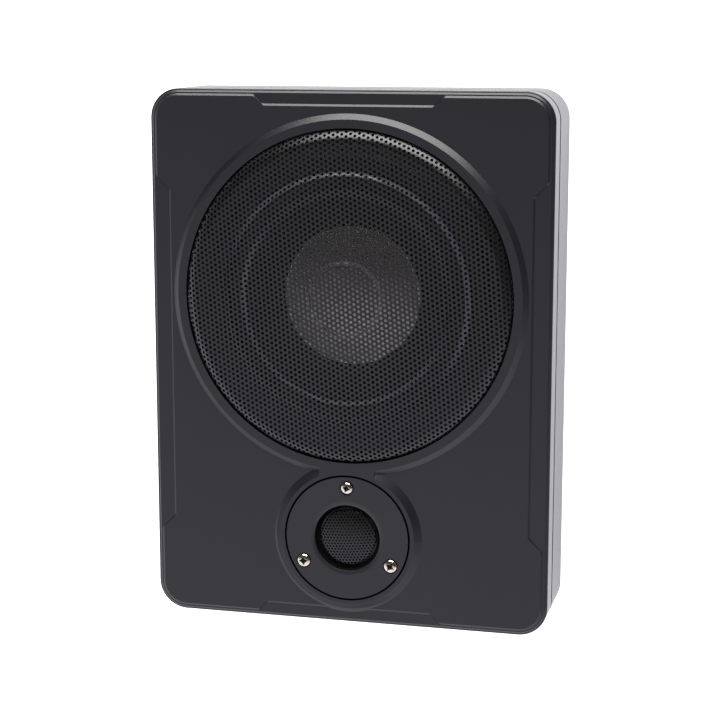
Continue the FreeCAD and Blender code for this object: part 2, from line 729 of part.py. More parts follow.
def tweeter_terminals():
    blades = []
    for x in (-4.0, 4.0):
        blades.append(box(x - 1.4, x + 1.4, TWEETER_Y + 21.8, TWEETER_Y + 31.5, 51.6, 52.2))
    return Part.makeCompound(blades)


# ---- Amplifier ----------------------------------------------------------------------------------

def amplifier_board():
    board = box(-BOARD_HALF_WIDTH, BOARD_HALF_WIDTH, BOARD_FRONT, BOARD_BACK, BOARD_BOTTOM, BOARD_TOP)
    return cut_all(board, [rod(1.8, BOARD_BOTTOM - 1, BOARD_TOP + 1, x, y) for x, y in STANDOFF_SPOTS])


def board_standoffs():
    posts = [tube(3.2, 1.3, FLOOR_TOP, BOARD_BOTTOM, x, y) for x, y in STANDOFF_SPOTS]
    return Part.makeCompound(posts)


def board_screws():
    screws = []
    for x, y in STANDOFF_SPOTS:
        head = rod(2.8, BOARD_TOP, BOARD_TOP + 1.8, x, y)
        shank = rod(1.5, 7.5, BOARD_TOP + 0.5, x, y)
        screws.append(head.fuse(shank).cut(cross_recess(BOARD_TOP + 1.8, 1.4, 1.0, x, y)))
    return Part.makeCompound(screws)


def heat_bar():
    """The aluminium bar that carries heat from the transistors to the case."""
    bar = box(-80, 80, BAR_FRONT, BAR_BACK, FLOOR_TOP, 30)
    return cut_all(bar, [rod_along_y(1.4, BAR_FRONT - 1, BAR_BACK + 1, x, 24) for x in transistor_places()])


def transistor_places():
    return [-66.0 + 26.4 * i for i in range(6)]


def power_transistors():
    bodies = []
    for x in transistor_places():
        case = box(x - 5, x + 5, BAR_FRONT - 4.5, BAR_FRONT, 16, 25)
        tab = box(x - 5, x + 5, BAR_FRONT - 1.3, BAR_FRONT, 16, 31)
        bodies.append(case.fuse(tab).cut(rod_along_y(1.8, BAR_FRONT - 5, BAR_FRONT + 1, x, 28.2)))
    return Part.makeCompound(bodies)


def transformer():
    """The ring core and winding of the supply."""
    ring = Part.makeTorus(12.5, 6.0, vec(-52, -108, BOARD_TOP + 8.0))
    return ring.fuse(tube(14.0, 7.0, BOARD_TOP, BOARD_TOP + 4, -52, -108)).removeSplitter()


def filter_capacitors():
    cans = []
    for i in range(4):
        x = 4.0 + 21.0 * i
        can = rod(8.0, BOARD_TOP, BOARD_TOP + 20, x, -104)
        can = can.makeFillet(1.0, [e for e in can.Edges if e.BoundBox.ZMin > BOARD_TOP + 19])
        groove = tube(9.0, 7.4, BOARD_TOP + 2.4, BOARD_TOP + 3.6, x, -104)
        cans.append(can.cut(groove))
    return Part.makeCompound(cans)


def output_coils():
    coils = []
    for x in (-22.0, 20.0):
        coils.append(tube(7.5, 3.5, BOARD_TOP, BOARD_TOP + 12, x, -127.5))
    return Part.makeCompound(coils)


def amplifier_chips():
    places = [(-24.0, -96.0), (44.0, -127.0), (66.0, -127.0)]
    return Part.makeCompound([box(x - 5, x + 5, y - 4, y + 4, BOARD_TOP, BOARD_TOP + 2.4) for x, y in places])


def tweeter_capacitor():
    block = box(-70, -52, -87.5, -78, BOARD_TOP, BOARD_TOP + 12)
    return block.makeFillet(1.2, [e for e in block.Edges if e.BoundBox.ZMin > BOARD_TOP + 1])


def lead_pair(starts, ends, level, bend):
    """Two insulated leads that rise from the board, cross at one level and end on their blades."""
    leads = []
    for a, b in zip(starts, ends):
        points = [a, (a[0], a[1], level), (b[0], b[1] + b[3], level), (b[0], b[1] + b[3], b[2]), b[:3]]
        leads.append(wire_tube(points, 1.0, bend))
    return Part.makeCompound(leads)


# ---- Socket panel -------------------------------------------------------------------------------

def connector_panel():
    gap = 0.3
    half_height = (BAY_HIGH - BAY_LOW) / 2 - gap
    plate = box_about(0, BAY_HALF_WIDTH - gap, PANEL_FRONT, PANEL_BACK, SOCKET_Z, half_height)
    front = PANEL_FRONT - 1
    back = PANEL_BACK + 1
    holes = [rod_along_y(4.9, front, back, x, SOCKET_Z) for x in RCA_X]
    holes += [rod_along_y(3.8, front, back, x, SOCKET_Z) for x in KNOB_X.values()]
    holes += [rod_along_y(1.6, front, back, x, z) for x, z in PANEL_SCREW_SPOTS]
    holes.append(rod_along_y(1.7, front, back, LED_X, SOCKET_Z))
    holes.append(box_about(SWITCH_X, 4.5, front, back, SOCKET_Z, 1.9))
    for x, half_x, half_z in socket_sizes():
        holes.append(box_about(x, half_x + 0.1, front, back, SOCKET_Z, half_z + 0.1))
    return cut_all(plate, holes)


def socket_sizes():
    return [(SPEAKER_INPUT_X, 10.0, 6.5), (REMOTE_X, 7.0, 6.0), (FUSE_X, 6.5, 9.5), (POWER_X, 10.0, 8.0)]


def panel_screws():
    screws = []
    for x, z in PANEL_SCREW_SPOTS:
        head = rod_along_y(2.4, PANEL_FRONT - 1.5, PANEL_FRONT, x, z)
        shank = rod_along_y(1.35, PANEL_FRONT - 0.5, LEDGE_BACK - 0.3, x, z)
        slot = box(x - 1.6, x + 1.6, PANEL_FRONT - 2, PANEL_FRONT - 0.8, z - 0.35, z + 0.35)
        cross = box(x - 0.35, x + 0.35, PANEL_FRONT - 2, PANEL_FRONT - 0.8, z - 1.6, z + 1.6)
        screws.append(head.fuse(shank).cut(slot).cut(cross))
    return Part.makeCompound(screws)


def rca_jacks():
    """Two coaxial input jacks, each an outer barrel round a hollow centre contact."""
    jacks = []
    for x in RCA_X:
        block = box(x - 5.5, x + 5.5, PANEL_BACK + 0.2, SOCKET_TAIL, BOARD_TOP, SOCKET_Z + 6)
        barrel = rod_along_y(4.15, PANEL_FRONT - 7.5, PANEL_BACK + 1, x, SOCKET_Z)
        collar = rod_along_y(4.8, PANEL_FRONT, PANEL_BACK + 1, x, SOCKET_Z)
        bore = rod_along_y(3.5, PANEL_FRONT - 8, PANEL_FRONT - 0.5, x, SOCKET_Z)
        contact = rod_along_y(2.0, PANEL_FRONT - 7.0, PANEL_FRONT + 0.5, x, SOCKET_Z)
        pin_hole = rod_along_y(1.6, PANEL_FRONT - 8, PANEL_FRONT - 0.5, x, SOCKET_Z)
        jacks.append(joined([block, collar, barrel]).cut(bore).fuse(contact).cut(pin_hole))
    return Part.makeCompound(jacks)


def socket_shell(x, half_x, half_z, wall, depth):
    """A moulded socket: a sleeve through the panel with a block behind that stands on the board."""
    sleeve = box_about(x, half_x, SOCKET_REACH, SOCKET_TAIL, SOCKET_Z, half_z)
    foot = box(x - half_x, x + half_x, BOARD_FRONT + 1, SOCKET_TAIL, BOARD_TOP, SOCKET_Z)
    mouth = box_about(x, half_x - wall, SOCKET_REACH - 1, SOCKET_REACH + depth, SOCKET_Z, half_z - wall)
    return joined([sleeve, foot]).cut(mouth)


def socket_pins(x, across, up, depth, count_x, count_z):
    pins = []
    root = SOCKET_REACH + depth + 0.5
    for i in range(count_x):
        for j in range(count_z):
            px = x + (i - (count_x - 1) / 2) * across
            pz = SOCKET_Z + (j - (count_z - 1) / 2) * up
            pins.append(box_about(px, 0.5, root - 5.5, root, pz, 0.5))
    return pins


def speaker_input_socket():
    shell = socket_shell(SPEAKER_INPUT_X, 10.0, 6.5, 1.4, 13.0)
    return joined([shell] + socket_pins(SPEAKER_INPUT_X, 4.2, 4.2, 13.0, 4, 2))


def power_socket():
    shell = socket_shell(POWER_X, 10.0, 8.0, 1.6, 14.0)
    return joined([shell] + socket_pins(POWER_X, 5.2, 6.0, 14.0, 3, 2))


def remote_port():
    """A modular jack for the remote level control, with a latch notch above its mouth."""
    shell = socket_shell(REMOTE_X, 7.0, 6.0, 1.4, 12.0)
    notch = box(REMOTE_X - 2, REMOTE_X + 2, SOCKET_REACH - 1, SOCKET_REACH + 8, SOCKET_Z + 4, SOCKET_Z + 5.4)
    return shell.cut(notch)


def fuse_holder():
    return socket_shell(FUSE_X, 6.5, 9.5, 1.2, 12.0)


def blade_fuse():
    """A flat blade fuse, standing in its holder with a gap at each side to grip it by."""
    cap = box_about(FUSE_X, 2.4, SOCKET_REACH + 3, SOCKET_REACH + 9, SOCKET_Z, 7.6)
    blades = []
    for z in (-4.6, 4.6):
        blades.append(box_about(FUSE_X, 0.4, SOCKET_REACH + 8.5, SOCKET_REACH + 12, SOCKET_Z + z, 2.4))
    return joined([cap] + blades)


def power_led():
    lens = rod_along_y(1.5, PANEL_FRONT - 0.6, PANEL_BACK + 3, LED_X, SOCKET_Z)
    lens = lens.fuse(Part.makeSphere(1.5, vec(LED_X, PANEL_FRONT - 0.6, SOCKET_Z)))
    front = PANEL_BACK + 2.4
    back = PANEL_BACK + 5.6
    legs = [box(LED_X + dx - 0.25, LED_X + dx + 0.25, front, back, BOARD_TOP, SOCKET_Z) for dx in (-1.0, 1.0)]
    bend = box_about(LED_X, 1.4, front, back, SOCKET_Z, 1.0)
    return joined([lens, bend] + legs)


def potentiometers():
    """Three rotary controls on the board, each with a bearing for its shaft."""
    bodies = []
    for x in KNOB_X.values():
        block = box(x - 5, x + 5, PANEL_BACK + 6, SOCKET_TAIL + 1, BOARD_TOP, SOCKET_Z + 5)
        nose = rod_along_y(4.4, PANEL_BACK + 0.6, PANEL_BACK + 7, x, SOCKET_Z)
        bearing = rod_along_y(SHAFT_RADIUS + 0.05, PANEL_BACK, PANEL_BACK + 12, x, SOCKET_Z)
        bodies.append(block.fuse(nose).removeSplitter().cut(bearing))
    return Part.makeCompound(bodies)


def knob_shaft(x):
    shaft = rod_along_y(SHAFT_RADIUS, KNOB_FRONT + 2, PANEL_BACK + 11.5, x, SOCKET_Z)
    return shaft.cut(box(x - 0.4, x + 0.4, KNOB_FRONT + 1, KNOB_FRONT + 6, SOCKET_Z - 4, SOCKET_Z + 4))


def knob(x):
    """A ribbed cap with a pointer groove across its face."""
    cap = rod_along_y(5.4, KNOB_FRONT, KNOB_BACK, x, SOCKET_Z)
    cap = cap.makeFillet(0.6, [e for e in cap.Edges if e.BoundBox.YMax < KNOB_FRONT + 0.01])
    count = 18
    for i in range(count):
        px = x + 5.55 * cos(2 * pi * i / count)
        pz = SOCKET_Z + 5.55 * sin(2 * pi * i / count)
        cap = cap.cut(rod_along_y(0.45, KNOB_FRONT + 1.2, KNOB_BACK + 1, px, pz))
    pointer = box(x - 0.45, x + 0.45, KNOB_FRONT - 1, KNOB_FRONT + 0.6, SOCKET_Z + 1.2, SOCKET_Z + 6)
    bore = rod_along_y(SHAFT_RADIUS, KNOB_FRONT + 2, KNOB_BACK + 1, x, SOCKET_Z)
    return cap.cut(pointer).cut(bore)


def phase_switch_body():
    body = box_about(SWITCH_X, 6.5, PANEL_BACK + 0.4, PANEL_BACK + 8, SOCKET_Z, 3.4)
    foot = box(SWITCH_X - 5, SWITCH_X + 5, PANEL_BACK + 5.6, PANEL_BACK + 8, BOARD_TOP, SOCKET_Z)
    track = box_about(SWITCH_X, 5.2, PANEL_BACK, PANEL_BACK + 3.4, SOCKET_Z, 1.9)
    return joined([body, foot]).cut(track)


def phase_switch_slider():
    """The switch's lever, drawn at the end of its slot nearer the knobs."""
    x = SWITCH_X - SWITCH_TRAVEL / 2
    slider = box_about(x, 2.2, PANEL_FRONT - 2.6, PANEL_BACK + 3.0, SOCKET_Z, 1.5)
    front = PANEL_FRONT - 3.0
    grip = [box_about(x + dx, 0.25, front, front + 0.9, SOCKET_Z, 2.0) for dx in (-1.1, 0.0, 1.1)]
    return cut_all(slider, grip)


# ---- Whole --------------------------------------------------------------------------------------

def subparts():
    woofer_leads = lead_pair(
        [(x, -87.0, BOARD_TOP) for x in TERMINAL_X],
        [(x, BLADE_END, 46.4, -7.0) for x in TERMINAL_X],
        36.0, 3.0)
    tweeter_leads = lead_pair(
        [(-40.0, -84.0, BOARD_TOP), (-34.0, -84.0, BOARD_TOP)],
        [(-4.0, TWEETER_Y + 31.5, 51.9, 7.0), (4.0, TWEETER_Y + 31.5, 51.9, 7.0)],
        40.0, 3.0)
    nodes = {
        "front_cover": front_cover(),
        "rear_case": rear_case(),
        "case_gasket": case_gasket(),
        "case_screws": case_screws(),
        "rubber_feet": rubber_feet(),
        "woofer_grille": woofer_grille(),
        "woofer_gasket": woofer_gasket(),
        "woofer_basket": woofer_basket(),
        "woofer_screws": woofer_screws(),
        "woofer_surround": woofer_surround(),
        "woofer_cone": woofer_cone(),
        "dust_cap": dust_cap(),
        "voice_coil_former": voice_coil_former(),
        "voice_coil": voice_coil(),
        "spider": spider(),
        "top_plate": top_plate(),
        "woofer_magnet": woofer_magnet(),
        "magnet_yoke": magnet_yoke(),
        "woofer_terminals": woofer_terminals(),
        "tinsel_leads": tinsel_leads(),
        "tweeter_plate": tweeter_plate(),
        "tweeter_grille": tweeter_grille(),
        "tweeter_screws": tweeter_screws(),
        "tweeter_housing": tweeter_housing(),
        "tweeter_dome": tweeter_dome(),
        "tweeter_surround": tweeter_surround(),
        "tweeter_coil": tweeter_coil(),
        "tweeter_top_plate": tweeter_top_plate(),
        "tweeter_magnet": tweeter_magnet(),
        "tweeter_pole": tweeter_pole(),
        "tweeter_yoke": tweeter_yoke(),
        "tweeter_terminals": tweeter_terminals(),
        "amplifier_board": amplifier_board(),
        "board_standoffs": board_standoffs(),
        "board_screws": board_screws(),
        "heat_bar": heat_bar(),
        "power_transistors": power_transistors(),
        "transformer": transformer(),
        "filter_capacitors": filter_capacitors(),
        "output_coils": output_coils(),
        "amplifier_chips": amplifier_chips(),
        "tweeter_capacitor": tweeter_capacitor(),
        "woofer_leads": woofer_leads,
        "tweeter_leads": tweeter_leads,
        "connector_panel": connector_panel(),
        "panel_screws": panel_screws(),
        "rca_jacks": rca_jacks(),
        "speaker_input_socket": speaker_input_socket(),
        "power_socket": power_socket(),
        "remote_port": remote_port(),
        "fuse_holder": fuse_holder(),
        "blade_fuse": blade_fuse(),
        "power_led": power_led(),
        "potentiometers": potentiometers(),
        "phase_switch_body": phase_switch_body(),
        "phase_switch_slider": phase_switch_slider(),
    }
    for name, x in KNOB_X.items():
        nodes[name + "_knob"] = knob(x).fuse(knob_shaft(x)).removeSplitter()
    return nodes


def main():
    os.makedirs("parts", exist_ok=True)
    for name, shape in subparts().items():
        shape.exportStep("parts/" + name + ".step")
        print(name, "solids", len(shape.Solids), "volume", round(shape.Volume, 1), "valid", shape.isValid())


main()
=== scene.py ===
"""Looks of the powered car subwoofer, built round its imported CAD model. Lengths are in metres.

The perforated grilles, the cross-recess screws, the flexing parts and the printed marks are modelled here.
Every other part is the CAD node itself, given its finish here. Object coordinates are the row frame, so
finishes can follow places.
"""

from bisect import bisect_right
from math import atan2, ceil, cos, hypot, pi, radians, sin, sqrt, tan

import bpy
from mathutils import Matrix, Vector


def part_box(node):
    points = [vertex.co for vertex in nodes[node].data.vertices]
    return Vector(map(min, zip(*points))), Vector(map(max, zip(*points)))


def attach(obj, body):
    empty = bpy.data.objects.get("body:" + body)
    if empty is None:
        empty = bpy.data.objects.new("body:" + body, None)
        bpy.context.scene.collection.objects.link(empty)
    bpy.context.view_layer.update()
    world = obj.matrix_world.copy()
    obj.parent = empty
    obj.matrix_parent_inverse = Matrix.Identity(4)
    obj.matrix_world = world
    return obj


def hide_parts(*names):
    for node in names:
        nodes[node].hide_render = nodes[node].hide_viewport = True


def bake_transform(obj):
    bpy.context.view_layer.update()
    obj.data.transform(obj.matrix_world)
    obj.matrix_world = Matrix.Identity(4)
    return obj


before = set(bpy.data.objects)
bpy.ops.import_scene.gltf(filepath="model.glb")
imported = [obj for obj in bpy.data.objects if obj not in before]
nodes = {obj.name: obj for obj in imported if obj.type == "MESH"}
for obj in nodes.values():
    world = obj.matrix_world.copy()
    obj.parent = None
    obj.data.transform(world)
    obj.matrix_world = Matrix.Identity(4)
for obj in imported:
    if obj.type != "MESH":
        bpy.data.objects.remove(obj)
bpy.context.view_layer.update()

MM = 0.001
scene = bpy.context.scene


# ---- Places read from the CAD model -------------------------------------------------------------

def low_corner(node):
    return Vector(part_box(node)[0])


def high_corner(node):
    return Vector(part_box(node)[1])


def middle(node):
    return (low_corner(node) + high_corner(node)) / 2


def half_width(node):
    return (high_corner(node).x - low_corner(node).x) / 2


WOOFER = middle("woofer_grille")
TWEETER = middle("tweeter_plate")
GRILLE_RADIUS = half_width("woofer_grille")
GRILLE_FOOT = low_corner("woofer_grille").z
PANEL_FACE = low_corner("connector_panel").y

# The woofer grille's raised ring, measured at the feet of its flanks, and its raised disc
RING_INNER = 62.6 * MM
RING_OUTER = 76.9 * MM
RING_FLANK = 2.9 * MM
DISC_RADIUS = 23.0 * MM

# The corrugated part of the spider
SPIDER_INNER = 29.5 * MM
SPIDER_OUTER = 54.0 * MM


# ---- Camera, floor and light --------------------------------------------------------------------

def aim(thing, target, along):
    """Turns a camera or lamp to face the target, with its long way level along the given direction."""
    back = (thing.location - Vector(target)).normalized()
    right = Vector(along).cross(back).normalized()
    over = back.cross(right)
    thing.rotation_euler = Matrix((right, over, back)).transposed().to_euler()


def make_camera():
    """A long lens nearly straight above, a little towards the right side and the woofer's end."""
    data = bpy.data.cameras.new("camera")
    data.lens = 92.4
    data.sensor_width = 36.0
    camera = bpy.data.objects.new("camera", data)
    scene.collection.objects.link(camera)
    camera.location = (0.280, 0.205, 1.136)
    aim(camera, (0.0074, 0.0019, 0.062), (0, 1, 0))
    scene.camera = camera


def soft_box(name, place, width, height, watts):
    """A rectangular studio light that faces the object."""
    data = bpy.data.lights.new(name, "AREA")
    data.shape = "RECTANGLE"
    data.size = width
    data.size_y = height
    data.energy = watts
    lamp = bpy.data.objects.new(name, data)
    scene.collection.objects.link(lamp)
    lamp.location = place
    aim(lamp, (0, 0, 0.05), (0, 0, 1))


def light_the_stage():
    """A long bright strip, low behind the woofer's end."""
    soft_box("far_strip", place=(0.05, 2.15, 1.15), width=2.4, height=1.3, watts=105)


def direction_ramp(tree, weights, start, end):
    """How far a direction in the surround lies along the weights, eased from 0 at start to 1 at end."""
    coordinates = tree.nodes.new("ShaderNodeTexCoord")
    lean = tree.nodes.new("ShaderNodeVectorMath")
    lean.operation = "DOT_PRODUCT"
    lean.inputs[1].default_value = weights
    tree.links.new(coordinates.outputs["Generated"], lean.inputs[0])
    ramp = tree.nodes.new("ShaderNodeMapRange")
    ramp.interpolation_type = "SMOOTHSTEP"
    ramp.inputs["From Min"].default_value = start
    ramp.inputs["From Max"].default_value = end
    tree.links.new(lean.outputs["Value"], ramp.inputs["Value"])
    return ramp.outputs["Result"]


def mix_colors(tree, amount, first, second):
    """A blend of two colours, each either a value or a socket."""
    mix = tree.nodes.new("ShaderNodeMix")
    mix.data_type = "RGBA"
    factor, *ends = [s for s in mix.inputs if s.enabled]
    tree.links.new(amount, factor)
    for socket, color in zip(ends, (first, second)):
        if isinstance(color, tuple):
            socket.default_value = (*color, 1)
        else:
            tree.links.new(color, socket)
    return [s for s in mix.outputs if s.enabled][0]


def make_world():
    """A white tent, brightest near the floor, with the woofer's side left open to a dark room."""
    world = bpy.data.worlds.new("studio")
    scene.world = world
    world.use_nodes = True
    tree = world.node_tree
    near_floor, overhead, dark_room = (1.70, 1.68, 1.80), (1.22, 1.20, 1.34), (0.08, 0.068, 0.048)
    high = direction_ramp(tree, weights=(0.0, 0.0, 1.0), start=0.15, end=0.50)
    tent = mix_colors(tree, high, near_floor, overhead)
    towards_woofer = direction_ramp(tree, weights=(0.18, 0.97, 0.0), start=-0.44, end=0.10)
    surround = mix_colors(tree, towards_woofer, tent, dark_room)
    tree.links.new(surround, tree.nodes["Background"].inputs["Color"])


def make_floor():
    """White backing paper, bright enough to light the box's sides from below."""
    side = 30.0
    mesh = bpy.data.meshes.new("floor")
    corners = [(-side, -side, 0), (side, -side, 0), (side, side, 0), (-side, side, 0)]
    mesh.from_pydata(corners, [], [(0, 1, 2, 3)])
    ground = bpy.data.objects.new("floor", mesh)
    scene.collection.objects.link(ground)
    paper = bpy.data.materials.new("backing_paper")
    paper.use_nodes = True
    shader = paper.node_tree.nodes["Principled BSDF"]
    shader.inputs["Base Color"].default_value = (0.95, 0.95, 0.955, 1)
    shader.inputs["Roughness"].default_value = 0.9
    shader.inputs["Emission Color"].default_value = (0.97, 0.95, 1.0, 1)
    shader.inputs["Emission Strength"].default_value = 1.15
    mesh.materials.append(paper)


# ---- How finishes are built ---------------------------------------------------------------------

def shaded(color, share):
    """A colour made darker or lighter."""
    return tuple(share * c for c in color)


class Finish:
    """A Principled material built up step by step from masks in object coordinates."""

    def __init__(self, name, color, roughness, metallic=0.0):
        self.material = bpy.data.materials.new(name)
        self.material.use_nodes = True
        self.tree = self.material.node_tree
        self.shader = self.tree.nodes["Principled BSDF"]
        self.shader.inputs["Base Color"].default_value = (*color, 1)
        self.shader.inputs["Roughness"].default_value = roughness
        self.shader.inputs["Metallic"].default_value = metallic
        self.place = self.tree.nodes.new("ShaderNodeTexCoord").outputs["Object"]

    def feed(self, socket, value):
        """Sets a socket to a number or a colour, or links another socket to it."""
        if isinstance(value, (int, float)):
            socket.default_value = value
        elif isinstance(value, (tuple, list)):
            socket.default_value = (*value, 1) if len(socket.default_value) > len(value) else value
        else:
            self.tree.links.new(value, socket)

    def math(self, operation, first, second=0.0, third=0.0):
        node = self.tree.nodes.new("ShaderNodeMath")
        node.operation = operation
        for socket, value in zip(node.inputs, (first, second, third)):
            self.feed(socket, value)
        return node.outputs[0]

    def stretched(self, x, y, z):
        """The place, scaled by a different number along each axis."""
        node = self.tree.nodes.new("ShaderNodeVectorMath")
        node.operation = "MULTIPLY"
        self.feed(node.inputs[0], self.place)
        self.feed(node.inputs[1], (x, y, z))
        return node.outputs[0]

    def axis(self, letter):
        node = self.tree.nodes.new("ShaderNodeSeparateXYZ")
        self.feed(node.inputs[0], self.place)
        return node.outputs[letter]

    def radius(self, centre):
        """Distance from a vertical axis."""
        x = self.math("SUBTRACT", self.axis("X"), centre.x)
        y = self.math("SUBTRACT", self.axis("Y"), centre.y)
        return self.math("SQRT", self.math("ADD", self.math("MULTIPLY", x, x), self.math("MULTIPLY", y, y)))

    def noise(self, size, detail, place=None):
        """Noise whose blobs are about the given size."""
        node = self.tree.nodes.new("ShaderNodeTexNoise")
        self.feed(node.inputs["Vector"], place or self.place)
        self.feed(node.inputs["Scale"], 1.0 / size)
        self.feed(node.inputs["Detail"], detail)
        return node.outputs["Fac"]

    def cells(self, size, feature="F1"):
        node = self.tree.nodes.new("ShaderNodeTexVoronoi")
        node.feature = feature
        self.feed(node.inputs["Vector"], self.place)
        self.feed(node.inputs["Scale"], 1.0 / size)
        return node.outputs["Distance"]

    def line_noise(self, value, size):
        """Noise along one number only, such as a radius."""
        node = self.tree.nodes.new("ShaderNodeTexNoise")
        node.noise_dimensions = "1D"
        self.feed(node.inputs["W"], value)
        self.feed(node.inputs["Scale"], 1.0 / size)
        self.feed(node.inputs["Detail"], 2.0)
        return node.outputs["Fac"]

    def wave(self, value, pitch):
        """A sine of the value, from 0 to 1."""
        sine = self.math("SINE", self.math("MULTIPLY", value, 2 * pi / pitch))
        return self.math("MULTIPLY_ADD", sine, 0.5, 0.5)

    def remap(self, value, low, high, to_low=0.0, to_high=1.0):
        node = self.tree.nodes.new("ShaderNodeMapRange")
        for socket, number in zip(node.inputs, (value, low, high, to_low, to_high)):
            self.feed(socket, number)
        return node.outputs["Result"]

    def beyond(self, value, limit):
        return self.math("GREATER_THAN", value, limit)

    def below(self, value, limit):
        return self.math("LESS_THAN", value, limit)

    def within(self, value, low, high):
        return self.math("MULTIPLY", self.beyond(value, low), self.below(value, high))

    def vary(self, name, mask, value):
        """Moves one input of the shader towards the value where the mask is 1."""
        socket = self.shader.inputs[name]
        node = self.tree.nodes.new("ShaderNodeMix")
        colored = name == "Base Color"
        node.data_type = "RGBA" if colored else "FLOAT"
        factor, first, second = (s for s in node.inputs if s.enabled)
        now = socket.links[0].from_socket if socket.links else socket.default_value
        self.feed(factor, mask)
        self.feed(first, now if not hasattr(now, "__len__") else tuple(now)[:3])
        self.feed(second, value)
        self.tree.links.new([s for s in node.outputs if s.enabled][0], socket)

    def bump(self, height, depth):
        """Adds relief from a height between 0 and 1, on top of any that is there."""
        node = self.tree.nodes.new("ShaderNodeBump")
        self.feed(node.inputs["Height"], height)
        self.feed(node.inputs["Distance"], depth)
        self.feed(node.inputs["Strength"], 1.0)
        earlier = self.shader.inputs["Normal"].links
        if earlier:
            self.feed(node.inputs["Normal"], earlier[0].from_socket)
        self.feed(self.shader.inputs["Normal"], node.outputs["Normal"])

    def clouded(self, size, spread):
        """Lightens and darkens the colour in soft patches by the given share."""
        socket = self.shader.inputs["Base Color"]
        base = tuple(socket.default_value)[:3]
        cloud = self.remap(self.noise(size, 2.0), 0.35, 0.65)
        self.feed(socket, shaded(base, 1 - spread))
        self.vary("Base Color", cloud, shaded(base, 1 + spread))

    def grained(self, size, depth, roughness_spread):
        """A fine grain in the surface, in height and in roughness."""
        socket = self.shader.inputs["Roughness"]
        rough = socket.default_value
        grain = self.remap(self.noise(size, 2.0), 0.3, 0.7)
        self.feed(socket, rough - roughness_spread)
        self.vary("Roughness", grain, rough + roughness_spread)
        self.bump(grain, depth)


def satin_paint(name, color, roughness, grain=0.45 * MM, depth=0.006 * MM):
    """Sprayed satin paint, with a fine grain and a faint long orange peel."""
    finish = Finish(name, color, roughness)
    finish.clouded(70 * MM, 0.05)
    finish.grained(grain, depth, 0.03)
    finish.bump(finish.noise(3.5 * MM, 1.0), 0.012 * MM)
    return finish


def moulded(name, color, roughness):
    """Moulded plastic with a spark-eroded texture."""
    finish = Finish(name, color, roughness)
    finish.clouded(12 * MM, 0.06)
    finish.grained(0.25 * MM, 0.008 * MM, 0.05)
    return finish


def rubber(name, color):
    finish = Finish(name, color, 0.7)
    finish.clouded(8 * MM, 0.15)
    finish.grained(0.3 * MM, 0.015 * MM, 0.06)
    return finish


def plated(name, color, roughness):
    """Plated or polished metal with faint stains and hairlines."""
    finish = Finish(name, color, roughness, 1.0)
    finish.clouded(3 * MM, 0.05)
    finish.grained(0.15 * MM, 0.001 * MM, 0.04)
    return finish


def turned_metal(name, color, roughness, centre, groove, depth):
    """Metal turned or spun about a vertical axis, with fine rings."""
    finish = Finish(name, color, roughness, 1.0)
    finish.clouded(18 * MM, 0.07)
    rings = finish.line_noise(finish.radius(centre), groove)
    finish.vary("Roughness", finish.remap(rings, 0.35, 0.65), roughness + 0.14)
    finish.bump(rings, depth)
    return finish


def wound_wire(name, color, pitch):
    """Enamelled wire wound about a vertical axis, turn above turn."""
    finish = Finish(name, color, 0.32, 0.85)
    finish.clouded(4 * MM, 0.12)
    turns = finish.wave(finish.axis("Z"), pitch)
    # painted shade: darker in the grooves between the turns
    finish.vary("Base Color", finish.below(turns, 0.18), shaded(color, 0.3))
    finish.bump(turns, 0.3 * pitch)
    return finish


def woven(name, color, pitch, roughness):
    """A plain weave: threads over and under in two directions."""
    finish = Finish(name, color, roughness)
    finish.clouded(9 * MM, 0.1)
    warp = finish.wave(finish.axis("X"), pitch)
    weft = finish.wave(finish.axis("Y"), pitch)
    cloth = finish.math("MULTIPLY", warp, weft)
    # painted shade: darker in the gaps between the threads
    gaps = finish.remap(cloth, 0.0, 0.35, 0.7, 0.0)
    finish.vary("Base Color", gaps, shaded(color, 0.35))
    finish.bump(cloth, 0.12 * pitch)
    return finish


# ---- Finishes of the casing ---------------------------------------------------------------------

def dress(finish, *names):
    """Gives CAD nodes a finish."""
    for name in names:
        mesh = nodes[name].data
        mesh.materials.clear()
        mesh.materials.append(finish.material)


def paint_gap_shade(finish, mask):
    """Painted shade: takes away colour and gloss, as in a deep narrow gap."""
    finish.vary("Base Color", mask, (0.001, 0.001, 0.002))
    finish.vary("Specular IOR Level", mask, 0.02)


def cover_paint():
    """Satin black, with painted shade: matt black in the gap round the tweeter's plate, and duller on the
    slope outside the gap where it faces away from the woofer.
    """
    paint = satin_paint("cover_paint", (0.0055, 0.0050, 0.0080), 0.36)
    reach = paint.radius(TWEETER)
    # painted shade: the gap round the tweeter's plate made black and matt
    paint_gap_shade(paint, paint.within(reach, 38.5 * MM, 40.0 * MM))
    below_top = paint.below(paint.axis("Z"), high_corner("front_cover").z - 0.1 * MM)
    slope = paint.math("MULTIPLY", paint.within(reach, 42.4 * MM, 45.7 * MM), below_top)
    along = paint.math("MULTIPLY_ADD", paint.axis("X"), 0.8, paint.axis("Y"))
    away = paint.remap(along, TWEETER.y - 32 * MM, TWEETER.y - 4 * MM, 1.0, 0.0)
    # painted shade: the slope made duller on the side that faces away from the woofer
    paint.vary("Specular IOR Level", paint.math("MULTIPLY", slope, away), 0.27)
    return paint


def dress_casing():
    dress(cover_paint(), "front_cover")
    case = satin_paint("case_paint", (0.0060, 0.0056, 0.0085), 0.38, 0.6 * MM, 0.012 * MM)
    dress(case, "rear_case")
    panel = satin_paint("panel_paint", (0.016, 0.016, 0.018), 0.5, 0.5 * MM, 0.02 * MM)
    dress(panel, "connector_panel")
    dress(rubber("foot_rubber", (0.02, 0.02, 0.02)), "rubber_feet")
    dress(rubber("gasket_rubber", (0.028, 0.028, 0.03)), "case_gasket", "woofer_gasket")
    dress(plated("zinc_screws", (0.62, 0.63, 0.66), 0.3), "case_screws", "board_screws", "panel_screws")
    dress(plated("black_oxide", (0.045, 0.045, 0.048), 0.45), "woofer_screws")


